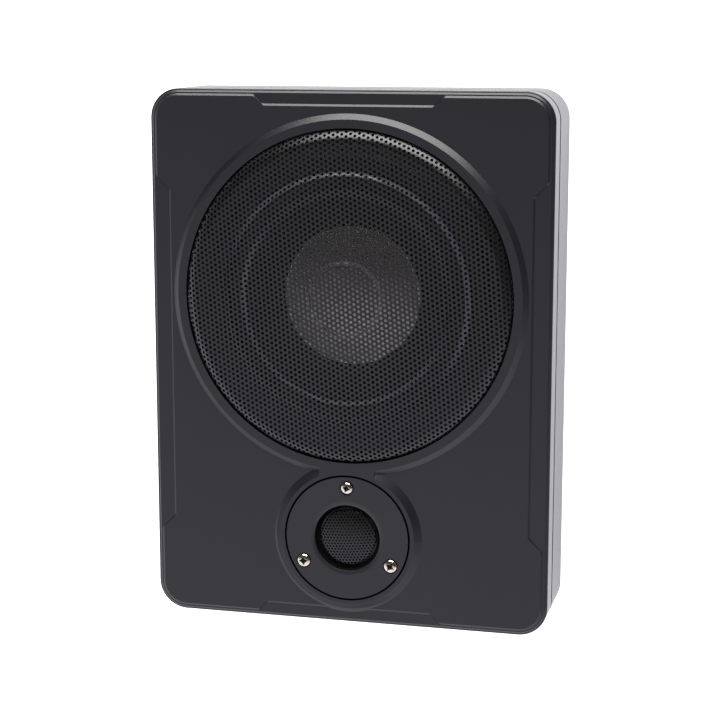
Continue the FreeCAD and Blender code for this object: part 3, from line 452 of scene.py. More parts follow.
def dress_faceplate():
    """The tweeter's moulded plate, with painted shade: matt black in the throat inside its rolled lip and at
    its outer edge.
    """
    plate = moulded("faceplate_plastic", (0.0085, 0.0080, 0.0110), 0.40)
    reach = plate.radius(TWEETER)
    throat = plate.below(reach, 20.9 * MM)
    # painted shade: the throat inside the rolled lip made black and matt
    plate.vary("Base Color", throat, (0.003, 0.003, 0.003))
    plate.vary("Roughness", throat, 0.9)
    plate.vary("Specular IOR Level", throat, 0.05)
    # painted shade along the plate's outer edge
    paint_gap_shade(plate, plate.beyond(reach, 38.75 * MM))
    dress(plate, "tweeter_plate")
    dress(moulded("housing_plastic", (0.012, 0.012, 0.012), 0.5), "tweeter_housing")


# ---- Finishes of the woofer and the tweeter -----------------------------------------------------

def cone_paper():
    """Black pressed pulp with short pale fibres."""
    finish = Finish("cone_paper", (0.016, 0.016, 0.016), 0.72)
    finish.clouded(14 * MM, 0.12)
    blobs_per_metre = (2600, 520, 900)
    fibres = finish.noise(1.0, 4.0, finish.stretched(*blobs_per_metre))
    finish.vary("Base Color", finish.remap(fibres, 0.62, 0.75), (0.05, 0.048, 0.045))
    finish.grained(0.8 * MM, 0.05 * MM, 0.06)
    finish.bump(fibres, 0.03 * MM)
    return finish


def ferrite():
    """Dark sintered ferrite with small paler chips."""
    finish = Finish("ferrite", (0.030, 0.030, 0.033), 0.55)
    finish.clouded(6 * MM, 0.18)
    finish.grained(0.5 * MM, 0.03 * MM, 0.08)
    chips = finish.below(finish.cells(2.4 * MM), 0.10)
    finish.vary("Base Color", chips, (0.07, 0.07, 0.075))
    return finish


def dress_woofer():
    dress(cone_paper(), "woofer_cone")
    cap = turned_metal("spun_cap", (0.72, 0.70, 0.66), 0.25, WOOFER, 0.5 * MM, 0.005 * MM)
    cap.shader.inputs["Metallic"].default_value = 0.9
    dress(cap, "dust_cap")
    dress(plated("former_foil", (0.75, 0.75, 0.76), 0.3), "voice_coil_former")
    dress(wound_wire("coil_wire", (0.62, 0.24, 0.10), 0.4 * MM), "voice_coil")
    steel = turned_metal("plated_steel", (0.45, 0.45, 0.47), 0.36, WOOFER, 0.35 * MM, 0.006 * MM)
    dress(steel, "top_plate", "magnet_yoke")
    dress(ferrite(), "woofer_magnet")
    dress(satin_paint("basket_powder", (0.017, 0.017, 0.018), 0.5, 0.7 * MM, 0.05 * MM), "woofer_basket")


def tweeter_silk(name):
    """Fine black cloth."""
    return woven(name, (0.028, 0.026, 0.026), 0.28 * MM, 0.6)


def dress_tweeter():
    dress(tweeter_silk("tweeter_silk"), "tweeter_dome")
    dress(wound_wire("tweeter_wire", (0.10, 0.04, 0.02), 0.16 * MM), "tweeter_coil")
    steel = turned_metal("tweeter_steel", (0.5, 0.5, 0.52), 0.34, TWEETER, 0.25 * MM, 0.004 * MM)
    dress(steel, "tweeter_top_plate", "tweeter_pole", "tweeter_yoke")
    dress(plated("magnet_nickel", (0.62, 0.60, 0.57), 0.25), "tweeter_magnet")


def dress_terminals():
    """Tinned blades on a brown fibre strip."""
    for name in ("woofer_terminals", "tweeter_terminals"):
        finish = Finish(name + "_finish", (0.06, 0.028, 0.012), 0.6)
        finish.clouded(2 * MM, 0.15)
        finish.grained(0.2 * MM, 0.01 * MM, 0.05)
        low, high = low_corner(name), high_corner(name)
        blade = finish.beyond(finish.axis("Z"), low.z + 0.55 * (high.z - low.z))
        finish.vary("Base Color", blade, (0.66, 0.64, 0.58))
        finish.vary("Metallic", blade, 1.0)
        finish.vary("Roughness", blade, 0.3)
        dress(finish, name)


# ---- Finishes of the amplifier ------------------------------------------------------------------

def circuit_board():
    """Green solder mask over copper tracks, with tinned pads."""
    finish = Finish("circuit_board", (0.010, 0.055, 0.022), 0.35)
    finish.clouded(20 * MM, 0.1)
    tracks = finish.below(finish.cells(6 * MM, "DISTANCE_TO_EDGE"), 0.09)
    finish.vary("Base Color", tracks, (0.02, 0.10, 0.035))
    finish.bump(tracks, 0.03 * MM)
    pads = finish.below(finish.cells(3.3 * MM), 0.10)
    finish.vary("Base Color", pads, (0.62, 0.62, 0.60))
    finish.vary("Metallic", pads, 1.0)
    finish.grained(0.3 * MM, 0.003 * MM, 0.04)
    return finish


def transformer_finish():
    """A dark ferrite core round a taped yellow winding."""
    low, high = low_corner("transformer"), high_corner("transformer")
    finish = Finish("transformer_finish", (0.035, 0.035, 0.037), 0.6)
    finish.clouded(5 * MM, 0.15)
    flange = 0.22 * (high.x - low.x)
    tape = finish.within(finish.axis("X"), low.x + flange, high.x - flange)
    finish.vary("Base Color", tape, (0.62, 0.44, 0.06))
    finish.bump(finish.line_noise(finish.axis("Z"), 1.2 * MM), 0.05 * MM)
    finish.grained(0.5 * MM, 0.01 * MM, 0.05)
    finish.vary("Roughness", tape, 0.3)
    return finish


def capacitor_finish():
    """Printed dark sleeves with a pale stripe, under bare aluminium tops."""
    finish = Finish("capacitor_sleeve", (0.012, 0.016, 0.035), 0.3)
    finish.clouded(6 * MM, 0.1)
    top = finish.beyond(finish.axis("Z"), high_corner("filter_capacitors").z - 0.6 * MM)
    finish.vary("Base Color", top, (0.75, 0.76, 0.78))
    finish.vary("Metallic", top, 1.0)
    stripe = finish.beyond(finish.wave(finish.axis("X"), 18 * MM), 0.86)
    side = finish.math("MULTIPLY", stripe, finish.math("SUBTRACT", 1.0, top))
    finish.vary("Base Color", side, (0.55, 0.56, 0.58))
    finish.grained(0.3 * MM, 0.003 * MM, 0.04)
    return finish


def brushed_aluminium():
    """Bare aluminium with brush lines along the bar."""
    finish = Finish("brushed_bar", (0.72, 0.73, 0.75), 0.34, 1.0)
    finish.clouded(15 * MM, 0.05)
    blobs_per_metre = (40, 5200, 5200)
    brushed = finish.noise(1.0, 3.0, finish.stretched(*blobs_per_metre))
    finish.vary("Roughness", finish.remap(brushed, 0.35, 0.65), 0.46)
    finish.bump(brushed, 0.004 * MM)
    return finish


def dress_amplifier():
    dress(circuit_board(), "amplifier_board")
    dress(plated("standoff_brass", (0.70, 0.50, 0.20), 0.3), "board_standoffs")
    dress(brushed_aluminium(), "heat_bar")
    chip = moulded("chip_epoxy", (0.016, 0.016, 0.017), 0.55)
    dress(chip, "amplifier_chips", "power_transistors")
    dress(transformer_finish(), "transformer")
    dress(capacitor_finish(), "filter_capacitors")
    dress(wound_wire("choke_wire", (0.60, 0.22, 0.08), 0.9 * MM), "output_coils")
    dress(moulded("film_capacitor", (0.30, 0.05, 0.02), 0.3), "tweeter_capacitor")


def lead_finish(node, first, second):
    """Two insulated leads of different colours, told apart by the side they lie on."""
    finish = Finish(node + "_insulation", first, 0.45)
    finish.clouded(5 * MM, 0.1)
    finish.vary("Base Color", finish.beyond(finish.axis("X"), middle(node).x), second)
    finish.grained(0.3 * MM, 0.006 * MM, 0.05)
    return finish


def dress_leads():
    red, black = (0.35, 0.012, 0.01), (0.014, 0.014, 0.014)
    dress(lead_finish("woofer_leads", black, red), "woofer_leads")
    dress(lead_finish("tweeter_leads", black, (0.55, 0.55, 0.52)), "tweeter_leads")


# ---- Finishes of the socket bay -----------------------------------------------------------------

def jack_finish():
    """Nickel barrels in front of the panel, red and white rings at its face and black bodies behind."""
    finish = Finish("jack_finish", (0.015, 0.015, 0.016), 0.4)
    finish.clouded(4 * MM, 0.1)
    finish.grained(0.2 * MM, 0.003 * MM, 0.04)
    along = finish.axis("Y")
    right = finish.beyond(finish.axis("X"), middle("rca_jacks").x)
    ring_front = PANEL_FACE - 1.6 * MM
    ring = finish.within(along, ring_front, PANEL_FACE + 0.2 * MM)
    finish.vary("Base Color", ring, (0.75, 0.74, 0.72))
    finish.vary("Base Color", finish.math("MULTIPLY", ring, right), (0.45, 0.012, 0.012))
    barrel = finish.below(along, ring_front)
    finish.vary("Base Color", barrel, (0.80, 0.79, 0.76))
    finish.vary("Metallic", barrel, 1.0)
    finish.vary("Roughness", barrel, 0.2)
    return finish


def socket_finish(node, color, margin):
    """A moulded socket, bright metal in the front part of its mouth from one margin to the other."""
    finish = moulded(node + "_finish", color, 0.42)
    low, high = low_corner(node), high_corner(node)
    inside = finish.within(finish.axis("Y"), low.y + 0.5 * MM, low.y + 12.7 * MM)
    for letter, bottom, top in (("X", low.x, high.x), ("Z", low.z, high.z)):
        across = finish.within(finish.axis(letter), bottom + margin, top - margin)
        inside = finish.math("MULTIPLY", inside, across)
    finish.vary("Base Color", inside, (0.72, 0.56, 0.26))
    finish.vary("Metallic", inside, 1.0)
    finish.vary("Roughness", inside, 0.28)
    return finish


def fuse_finish():
    """An amber body with bare metal blades behind it."""
    finish = Finish("fuse_amber", (0.55, 0.16, 0.01), 0.2)
    finish.clouded(3 * MM, 0.1)
    finish.grained(0.3 * MM, 0.003 * MM, 0.03)
    body_length = 6.1 * MM
    blades = finish.beyond(finish.axis("Y"), low_corner("blade_fuse").y + body_length)
    finish.vary("Base Color", blades, (0.66, 0.66, 0.66))
    finish.vary("Metallic", blades, 1.0)
    return finish


def led_lens():
    """Glossy red plastic."""
    finish = Finish("led_lens", (0.75, 0.05, 0.03), 0.15)
    finish.clouded(1.5 * MM, 0.1)
    finish.grained(0.3 * MM, 0.002 * MM, 0.03)
    return finish


def dress_sockets():
    dress(jack_finish(), "rca_jacks")
    dress(socket_finish("speaker_input_socket", (0.70, 0.69, 0.64), 2.1 * MM), "speaker_input_socket")
    dress(socket_finish("power_socket", (0.018, 0.018, 0.019), 2.3 * MM), "power_socket")
    dress(moulded("port_plastic", (0.020, 0.020, 0.022), 0.35), "remote_port", "fuse_holder")
    dress(fuse_finish(), "blade_fuse")
    dress(led_lens(), "power_led")
    dress(plated("control_cans", (0.55, 0.55, 0.57), 0.35), "potentiometers")
    dress(moulded("switch_body", (0.02, 0.02, 0.02), 0.5), "phase_switch_body")
    dress(moulded("switch_lever", (0.55, 0.54, 0.50), 0.45), "phase_switch_slider")
    dress(moulded("knob_plastic", (0.018, 0.018, 0.019), 0.5), "gain_knob", "crossover_knob", "bass_knob")


# ---- How meshes are built -----------------------------------------------------------------------

def add_mesh(name, points, faces, finish, slot, sharp_angle=35.0):
    """A new mesh object in the row frame, shaded smooth between its sharp edges. It rides on nothing yet."""
    mesh = bpy.data.meshes.new(name)
    mesh.from_pydata(points, [], faces)
    mesh.validate()
    mesh.materials.append(finish.material)
    mesh.shade_smooth()
    mesh.set_sharp_from_angle(angle=radians(sharp_angle))
    piece = bpy.data.objects.new(name, mesh)
    scene.collection.objects.link(piece)
    return piece


def lathe(outline, centre, segments, start=0.0, sweep=2 * pi):
    """Points and faces of a closed outline of (radius, height) turned about a vertical axis."""
    whole = sweep > 2 * pi - 1e-6
    rows = segments if whole else segments + 1
    count = len(outline)
    points = []
    for i in range(rows):
        angle = start + sweep * i / segments
        points += [(centre.x + r * cos(angle), centre.y + r * sin(angle), z) for r, z in outline]
    faces = []
    for i in range(segments):
        j = (i + 1) % rows
        for k in range(count):
            n = (k + 1) % count
            faces.append((i * count + k, j * count + k, j * count + n, i * count + n))
    if not whole:
        faces.append(tuple(reversed(range(count))))
        faces.append(tuple(range((rows - 1) * count, rows * count)))
    return points, faces


def arc_points(centre, radius_r, radius_z, start, end, count):
    """Points on an elliptical arc in the radius and height plane."""
    angles = [start + (end - start) * i / count for i in range(count + 1)]
    return [(centre[0] + radius_r * cos(a), centre[1] + radius_z * sin(a)) for a in angles]


def smooth_step(value):
    value = min(max(value, 0.0), 1.0)
    return value * value * (3 - 2 * value)


# ---- Perforated sheet ---------------------------------------------------------------------------

class Profile:
    """A sheet's section from its middle outwards, looked up by the distance along it."""

    def __init__(self, section):
        self.distances = []
        self.rows = []
        along = 0.0
        for i, (r, z) in enumerate(section):
            before = section[max(i - 1, 0)]
            after = section[min(i + 1, len(section) - 1)]
            if i:
                along += hypot(r - before[0], z - before[1])
            dr, dz = after[0] - before[0], after[1] - before[1]
            size = hypot(dr, dz)
            self.distances.append(along)
            self.rows.append((r, z, -dz / size, dr / size))
        self.length = along

    def at(self, along):
        """Radius, height and the two parts of the outward normal."""
        i = min(max(bisect_right(self.distances, along) - 1, 0), len(self.rows) - 2)
        start, end = self.distances[i:i + 2]
        share = min(max((along - start) / (end - start), 0.0), 1.0)
        return [a + (b - a) * share for a, b in zip(self.rows[i], self.rows[i + 1])]


class PerforatedSheet:
    """A pressed sheet with staggered round holes.

    The holes are laid out on the flat sheet, and each point is carried to the section by its distance from
    the middle. Each hole's hexagonal cell shares its corners with its neighbours' cells.
    """

    sides = 12

    def __init__(self, section, centre, pitch, hole_radius, lean, thickness, inner=0.0, outer=None):
        self.profile = Profile(section)
        self.centre = centre
        self.pitch = pitch
        self.hole_radius = hole_radius
        self.corner_radius = pitch / sqrt(3)
        self.turn = lean + pi / 6
        self.thickness = thickness
        self.upper = []
        self.lower = []
        self.faces = []
        self.walls = []
        self.corners = {}
        self.edges = {}
        outer = outer or self.profile.length - self.corner_radius
        reach = 2 * ceil(outer / pitch)
        for i in range(-reach, reach + 1):
            for j in range(-reach, reach + 1):
                u = pitch * (i * cos(lean) + j * cos(lean + pi / 3))
                v = pitch * (i * sin(lean) + j * sin(lean + pi / 3))
                if inner <= hypot(u, v) < outer:
                    self.add_cell(u, v)
        self.walls += [uses[0][::-1] for uses in self.edges.values() if len(uses) == 1]

    def carry(self, u, v):
        """Adds a point of the flat sheet to both faces of the pressed one, and gives its number."""
        angle = atan2(v, u)
        r, z, nr, nz = self.profile.at(hypot(u, v))
        for store, shift in ((self.upper, 0.0), (self.lower, self.thickness)):
            x = self.centre.x + (r - nr * shift) * cos(angle)
            y = self.centre.y + (r - nr * shift) * sin(angle)
            store.append((x, y, z - nz * shift))
        return len(self.upper) - 1

    def corner(self, u, v):
        """The number of a cell corner, which up to three cells share."""
        key = (round(20 * u / self.pitch), round(20 * v / self.pitch))
        if key not in self.corners:
            self.corners[key] = self.carry(u, v)
        return self.corners[key]

    def add_cell(self, u, v):
        """A hexagon with a round hole in it."""
        per_side = self.sides // 6
        reach = self.corner_radius
        corners = []
        for k in range(6):
            angle = self.turn + k * pi / 3
            corners.append(self.corner(u + reach * cos(angle), v + reach * sin(angle)))
        rim = []
        for m in range(self.sides):
            angle = self.turn + 2 * pi * m / self.sides
            rim.append(self.carry(u + self.hole_radius * cos(angle), v + self.hole_radius * sin(angle)))
        for k in range(6):
            a, b = corners[k], corners[(k + 1) % 6]
            inside = [rim[(k * per_side + m) % self.sides] for m in range(per_side, -1, -1)]
            self.faces.append((a, b, *inside))
            self.edges.setdefault((min(a, b), max(a, b)), []).append((b, a))
        self.walls += [(rim[m], rim[(m + 1) % self.sides]) for m in range(self.sides)]

    def mesh(self):
        count = len(self.upper)
        below = [tuple(count + p for p in reversed(face)) for face in self.faces]
        walls = [(a, b, count + b, count + a) for a, b in self.walls]
        return self.upper + self.lower, self.faces + below + walls


# ---- Grilles ------------------------------------------------------------------------------------

def woofer_section():
    """From the middle to the foot: a raised disc, a raised ring, a rounded shoulder and an upright rim."""
    slopes = [6, 14, 21, 26, 29, 31, 33, 35, 38, 44, 55]
    step = 0.6 * MM
    crown = GRILLE_RADIUS - len(slopes) * step
    crown_height = GRILLE_FOOT + 13.95 * MM
    bulge, ring_height, disc_height, disc_flank = 1.0 * MM, 1.15 * MM, 0.8 * MM, 1.6 * MM
    steps = 240
    section = []
    for i in range(steps):
        r = crown * i / steps
        ring = smooth_step((RING_OUTER - r) / RING_FLANK) * smooth_step((r - RING_INNER) / RING_FLANK)
        disc = smooth_step((DISC_RADIUS - r) / disc_flank)
        raised = bulge * (1 - (r / crown) ** 2) + ring_height * ring + disc_height * disc
        section.append((r, crown_height + raised))
    r, height = crown, crown_height
    for slope in slopes:
        section.append((r, height))
        r += step
        height -= step * tan(radians(slope))
    section.append((GRILLE_RADIUS, height))
    section.append((GRILLE_RADIUS, GRILLE_FOOT + 6.6 * MM))
    return section


def grille_paint(name):
    """A thin coat of satin black on pressed sheet."""
    return satin_paint(name, (0.0060, 0.0058, 0.0070), 0.30, 0.3 * MM, 0.003 * MM)


def woofer_grille_paint():
    """Satin black, with painted highlights on those flanks of the ring and the disc that face one way, and
    painted shade that makes the ring's other flanks duller.
    """
    paint = grille_paint("woofer_grille_paint")
    reach = paint.radius(WOOFER)
    outside = paint.within(reach, RING_OUTER - RING_FLANK, RING_OUTER + 0.3 * MM)
    inside = paint.within(reach, RING_INNER - 0.2 * MM, RING_INNER + RING_FLANK + 0.1 * MM)
    disc = paint.within(reach, DISC_RADIUS - 2.1 * MM, DISC_RADIUS + 0.6 * MM)
    along = paint.math("MULTIPLY_ADD", paint.axis("X"), 0.5, paint.axis("Y"))
    far = paint.remap(along, WOOFER.y - 22 * MM, WOOFER.y + 22 * MM)
    near = paint.math("SUBTRACT", 1.0, far)
    # painted highlight: the ring's flanks that face one way made lighter
    painted_highlight = paint.math("ADD", paint.math("MULTIPLY", outside, far), paint.math("MULTIPLY", inside, near))
    paint.vary("Base Color", painted_highlight, (0.036, 0.036, 0.045))
    # painted highlight: the disc's flank on the far side made lighter
    paint.vary("Base Color", paint.math("MULTIPLY", disc, far), (0.032, 0.032, 0.038))
    # painted shade: the ring's other flanks made duller
    painted_shade = paint.math("ADD", paint.math("MULTIPLY", outside, near), paint.math("MULTIPLY", inside, far))
    paint.vary("Specular IOR Level", painted_shade, 0.34)
    return paint


def woofer_grille(paint):
    """Two perforated pieces, which meet on top of the raised ring, and the plain rim below them."""
    pitch, hole_radius, lean = 3.12 * MM, 1.0 * MM, radians(94.5)
    thickness = 1.0 * MM
    split = 69.5 * MM
    bands = {"middle": (0.0, split), "outer": (split, None)}
    for name, band in bands.items():
        sheet = PerforatedSheet(woofer_section(), WOOFER, pitch, hole_radius, lean, thickness, *band)
        piece = add_mesh("woofer_grille_" + name, *sheet.mesh(), paint, "grille_paint", sharp_angle=40)
        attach(piece, "box")
        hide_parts("woofer_grille")
    inside = GRILLE_RADIUS - thickness
    top = GRILLE_FOOT + 8.2 * MM
    outline = [(inside, GRILLE_FOOT), (GRILLE_RADIUS, GRILLE_FOOT), (GRILLE_RADIUS, top), (inside, top)]
    rim = add_mesh("woofer_grille_rim", *lathe(outline, WOOFER, segments=180), paint, "grille_paint")
    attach(rim, "box")


def tweeter_grille(paint):
    """A small perforated dome in a flat clamping ring."""
    foot = low_corner("tweeter_grille").z
    seat = foot + 0.6 * MM
    dome, rise, bend = 16.6 * MM, 2.2 * MM, 1.4 * MM
    bend_height = seat + 0.5 * MM
    steps = 60
    section = []
    for i in range(steps):
        r = dome * i / steps
        section.append((r, bend_height + bend + rise * (1 - (r / dome) ** 2)))
    section += arc_points((dome, bend_height), bend, bend, pi / 2, 0, 8)
    section.append((dome + bend + 0.05 * MM, seat - 0.2 * MM))
    pitch, hole_radius, lean = 2.14 * MM, 0.72 * MM, radians(4.5)
    sheet = PerforatedSheet(section, TWEETER, pitch, hole_radius, lean, thickness=0.5 * MM)
    piece = add_mesh("tweeter_grille_dome", *sheet.mesh(), paint, "grille_paint", sharp_angle=40)
    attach(piece, "box")
    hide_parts("tweeter_grille")
    inside, outside = 17.4 * MM, half_width("tweeter_grille")
    outline = [(inside, foot), (outside, foot), (outside, seat), (inside, seat)]
    ring = add_mesh("tweeter_grille_ring", *lathe(outline, TWEETER, segments=96), paint, "grille_paint")
    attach(ring, "box")


# ---- Faceplate screws ---------------------------------------------------------------------------

def star_reach(angle, head_radius):
    """Edge of the recess in a screw's head: a four-pointed star with curved-in sides."""
    arm, power = 0.84 * head_radius, 0.62
    return arm / (abs(cos(angle)) ** power + abs(sin(angle)) ** power) ** (1 / power)


def screw_points(spot, radius, seat, crown, turn, segments, rings):
    """A pan head with a worn cross recess, on a plain shank: circles of points from the crown to the tip."""
    recess_depth, shank_radius = 1.7 * MM, 1.5 * MM
    side, tip = seat + 0.7 * MM, low_corner("tweeter_screws").z
    points = [(spot.x, spot.y, crown - recess_depth)]

    def add_circle(r, height, recessed):
        for m in range(segments):
            angle = 2 * pi * m / segments
            share = smooth_step(1.9 * (1 - r / star_reach(angle - turn, radius))) if recessed else 0.0
            points.append((spot.x + r * cos(angle), spot.y + r * sin(angle), height - recess_depth * share))

    for k in range(1, rings + 1):
        r = radius * k / rings
        roundness = sqrt(max(1 - (r / radius) ** 2.2, 0.0))
        add_circle(r, side + (crown - side) * roundness, True)
    for r, height in ((radius, seat), (shank_radius, seat), (shank_radius, tip)):
        add_circle(r, height, False)
    return points + [(spot.x, spot.y, tip)]


def circle_faces(segments, count):
    """Faces of a closed body made of a first point, circles of points and a last point."""
    last = 1 + (count - 1) * segments
    faces = []
    for m in range(segments):
        n = (m + 1) % segments
        faces.append((0, 1 + m, 1 + n))
        for a in range(1, last, segments):
            b = a + segments
            faces.append((a + m, b + m, b + n, a + n))
        faces.append((last + m, last + segments, last + n))
    return faces


def screw_nickel():
    """Warm bright nickel."""
    finish = Finish("screw_nickel", (0.66, 0.60, 0.53), 0.12, 1.0)
    finish.clouded(1.6 * MM, 0.10)
    finish.grained(0.25 * MM, 0.002 * MM, 0.04)
    return finish


def painted_recess_shade():
    """Painted shade: a dark, rough colour in the screws' recesses."""
    finish = Finish("painted_recess_shade", (0.007, 0.005, 0.004), 0.8)
    finish.clouded(0.6 * MM, 0.3)
    finish.grained(0.2 * MM, 0.01 * MM, 0.08)
    return finish


def faceplate_screws():
    """Three screws on a circle round the tweeter's grille, each turned its own way. The first has a smaller
    head.
    """
    nickel, recess_shade = screw_nickel(), painted_recess_shade()
    crown = high_corner("tweeter_screws").z
    seat = crown - 2.6 * MM
    segments, rings, shank_circles = 96, 26, 3
    heads = ((90, 3.8 * MM, -15), (210, 4.2 * MM, 3), (330, 4.2 * MM, -32))
    for i, (bearing, radius, turn) in enumerate(heads):
        bearing, turn = radians(bearing), radians(turn)
        spot = TWEETER + Vector((cos(bearing), sin(bearing), 0)) * 32 * MM
        points = screw_points(spot, radius, seat, crown, turn, segments, rings)
        faces = circle_faces(segments, rings + shank_circles)
        piece = add_mesh(f"tweeter_screw_{i}", points, faces, nickel, "nickel", sharp_angle=60)
        # painted shade: the faces inside each cross recess get the dark material
        piece.data.materials.append(recess_shade.material)
        for face in piece.data.polygons:
            across = face.center - spot
            edge = star_reach(atan2(across.y, across.x) - turn, radius)
            if face.center.z > seat and hypot(across.x, across.y) < 1.02 * edge:
                face.material_index = 1
        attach(piece, "box")
        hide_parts("tweeter_screws")


# ---- Parts that flex ----------------------------------------------------------------------------

def flexing_ring(node, outline, centre, count, finish, slot):
    """A ring between a fixed edge and a moving one, built as separate sectors round its circle."""
    sweep = 2 * pi / count
    for i in range(count):
        points, faces = lathe(outline, centre, segments=10, start=i * sweep, sweep=sweep)
        piece = add_mesh(f"{node}_{i:02d}", points, faces, finish, slot, sharp_angle=60)
        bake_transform(piece)
        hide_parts(node)


def surround_outline():
    """A half roll with a flat lip each side, 1 mm thick."""
    base = low_corner("woofer_surround").z
    top = base + 1.0 * MM
    inner, roll, outer = 69.5 * MM, 82.0 * MM, 92.4 * MM
    roll_height, bevel = 6.0 * MM, 0.2 * MM
    under = arc_points((roll, base), 6.4 * MM, roll_height, pi, 0, 20)
    over = arc_points((roll, top), 7.2 * MM, roll_height, 0, pi, 20)
    outer_lip = [(outer, base), (outer, top - bevel), (outer - bevel, top)]
    inner_lip = [(inner + bevel, top), (inner, top - bevel)]
    return [(inner, base)] + under + outer_lip + over + inner_lip


def spider_outline():
    """Round corrugations between a flat outer lip and the coil's former."""
    sheet = 0.6 * MM
    level = middle("spider").z + sheet / 2
    swing, waves, steps = 0.9 * MM, 2, 64
    upper = [(half_width("voice_coil_former"), level)]
    for i in range(steps + 1):
        r = SPIDER_INNER + (SPIDER_OUTER - SPIDER_INNER) * i / steps
        upper.append((r, level + swing * sin(2 * pi * waves * i / steps)))
    upper.append((half_width("spider"), level))
    return [(r, z - sheet) for r, z in upper] + upper[::-1]


def surround_and_spider():
    """The two rings that hold the woofer's cone to its basket."""
    roll = Finish("surround_rubber", (0.014, 0.014, 0.0145), 0.5)
    roll.clouded(10 * MM, 0.12)
    roll.grained(0.35 * MM, 0.01 * MM, 0.06)
    flexing_ring("woofer_surround", surround_outline(), WOOFER, count=24,
                 finish=roll, slot="rubber")
    cloth = woven("spider_cloth", (0.42, 0.27, 0.08), 0.55 * MM, 0.75)
    flexing_ring("spider", spider_outline(), WOOFER, count=24,
                 finish=cloth, slot="treated_cloth")


def follow_node(name, node, finish):
    """A copy of a CAD node's mesh with another finish, put in place of the node, for a part that runs
    between two bodies.
    """
    mesh = nodes[node].data.copy()
    mesh.materials.clear()
    mesh.materials.append(finish.material)
    piece = bpy.data.objects.new(name, mesh)
    scene.collection.objects.link(piece)
    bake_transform(piece)
    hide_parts(node)


def braided_leads():
    """The copper braids that follow the woofer's cone."""
    braid = Finish("copper_braid", (0.70, 0.34, 0.16), 0.35, 1.0)
    braid.clouded(1.5 * MM, 0.12)
    across, along = braid.axis("X"), braid.axis("Y")
    strands = []
    for side in (1, -1):
        strands.append(braid.wave(braid.math("MULTIPLY_ADD", across, side, along), 0.5 * MM))
    braid.bump(braid.math("MAXIMUM", *strands), 0.08 * MM)
    follow_node("tinsel_braids", "tinsel_leads", braid)


def tweeter_roll():
    """The tweeter's small roll, in sectors like the woofer's."""
    base, outside = low_corner("tweeter_surround").z, half_width("tweeter_surround")
    under, over, roll = base + 0.6 * MM, base + 1.0 * MM, 14.3 * MM
    under_radius, over_radius = 1.0 * MM, 1.4 * MM
    outline = [(roll - over_radius, under)]
    outline += arc_points((roll, under), under_radius, 0.9 * MM, pi, 0, 8)
    outline += [(roll + under_radius, base), (outside, base), (outside, over)]
    outline += arc_points((roll, over), over_radius, 1.2 * MM, 0, pi, 12)
    silk = tweeter_silk("surround_silk")
    flexing_ring("tweeter_surround", outline, TWEETER, count=12,
                 finish=silk, slot="silk")


# ---- Printed marks in the socket bay ------------------------------------------------------------

def printed(name, shapes, finish, slot):
    """Thin raised print on the socket panel. Each shape is a ring of (x, z) points."""
    thickness = 0.06 * MM
    points, faces = [], []
    for shape in shapes:
        start = len(points)
        count = len(shape)
        points += [(x, PANEL_FACE - thickness, z) for x, z in shape]
        points += [(x, PANEL_FACE, z) for x, z in shape]
        faces.append(tuple(range(start, start + count)))
        faces.append(tuple(reversed(range(start + count, start + 2 * count))))
        for i in range(count):
            j = (i + 1) % count
            faces.append((start + j, start + i, start + count + i, start + count + j))
    piece = add_mesh(name, points, faces, finish, slot)
    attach(piece, "box")


def dial_ticks(centre):
    """Short radial strokes over a control's sweep, from seven o'clock round to five, some of them longer."""
    shapes = []
    count, sweep = 11, radians(300)
    inner, outer, half = 6.3 * MM, 7.4 * MM, 0.16 * MM
    for i in range(count):
        angle = pi / 2 + sweep * (0.5 - i / (count - 1))
        reach = outer + (0.5 * MM if i in (0, count // 2, count - 1) else 0.0)
        way = Vector((cos(angle), sin(angle)))
        side = Vector((-way.y, way.x)) * half
        spot = Vector((centre.x, centre.z))
        corners = [spot + way * inner - side, spot + way * inner + side,
                   spot + way * reach + side, spot + way * reach - side]
        shapes.append([tuple(c) for c in corners])
    return shapes


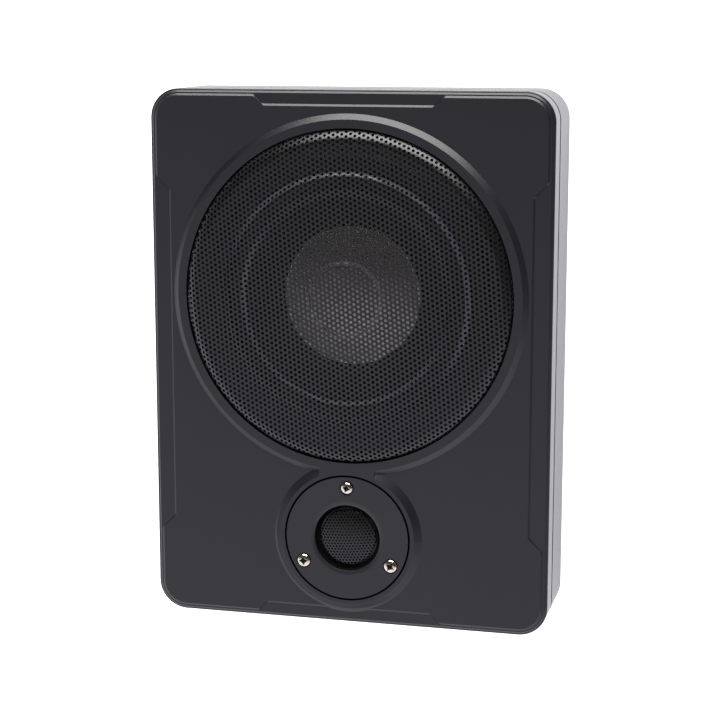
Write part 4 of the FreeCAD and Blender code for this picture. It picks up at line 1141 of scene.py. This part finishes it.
def socket_lines():
    """Thin printed lines above and below each moulded socket."""
    shapes = []
    gap, line = 1.0 * MM, 0.3 * MM
    for node in ("speaker_input_socket", "power_socket", "remote_port", "fuse_holder"):
        low, high = low_corner(node), high_corner(node)
        x0, x1 = low.x - gap, high.x + gap
        z1 = high.z + gap
        # The lower line mirrors the upper one about the height of the knobs.
        z0 = 2 * middle("gain_knob").z - z1
        shapes += [
            [(x0, z1), (x1, z1), (x1, z1 + line), (x0, z1 + line)],
            [(x0, z0 - line), (x1, z0 - line), (x1, z0), (x0, z0)],
        ]
    return shapes


def printed_marks():
    ink = Finish("legend_ink", (0.70, 0.70, 0.68), 0.5)
    ink.clouded(2 * MM, 0.08)
    ink.grained(0.3 * MM, 0.002 * MM, 0.05)
    shapes = []
    for knob in ("gain_knob", "crossover_knob", "bass_knob"):
        shapes += dial_ticks(middle(knob))
    printed("panel_legend", shapes + socket_lines(), ink, "light_plastic")


def knob_pointers():
    """White paint in each knob's pointer groove."""
    ink = Finish("pointer_paint", (0.78, 0.78, 0.76), 0.45)
    ink.clouded(1 * MM, 0.06)
    ink.grained(0.2 * MM, 0.002 * MM, 0.04)
    for control in ("gain", "crossover", "bass"):
        node = control + "_knob"
        spot, face = middle(node), low_corner(node).y
        half, low, high = 0.42 * MM, 1.3 * MM, 5.0 * MM
        front, back = face + 0.35 * MM, face + 0.6 * MM
        x0, x1, z0, z1 = spot.x - half, spot.x + half, spot.z + low, spot.z + high
        points = [(x, y, z) for y in (front, back) for x, z in ((x0, z0), (x1, z0), (x1, z1), (x0, z1))]
        faces = [(0, 1, 2, 3), (7, 6, 5, 4), (1, 0, 4, 5), (2, 1, 5, 6), (3, 2, 6, 7), (0, 3, 7, 4)]
        piece = add_mesh(control + "_pointer", points, faces, ink, "light_plastic")
        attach(piece, control + "_control")


# ---- Whole --------------------------------------------------------------------------------------

def dress_nodes():
    dress_casing()
    dress_faceplate()
    dress_woofer()
    dress_tweeter()
    dress_terminals()
    dress_amplifier()
    dress_leads()
    dress_sockets()


def add_pieces():
    woofer_grille(woofer_grille_paint())
    tweeter_grille(grille_paint("tweeter_grille_paint"))
    faceplate_screws()
    surround_and_spider()
    braided_leads()
    tweeter_roll()
    printed_marks()
    knob_pointers()


scene.view_settings.view_transform = "Standard"
make_camera()
make_world()
light_the_stage()
make_floor()
dress_nodes()
add_pieces()
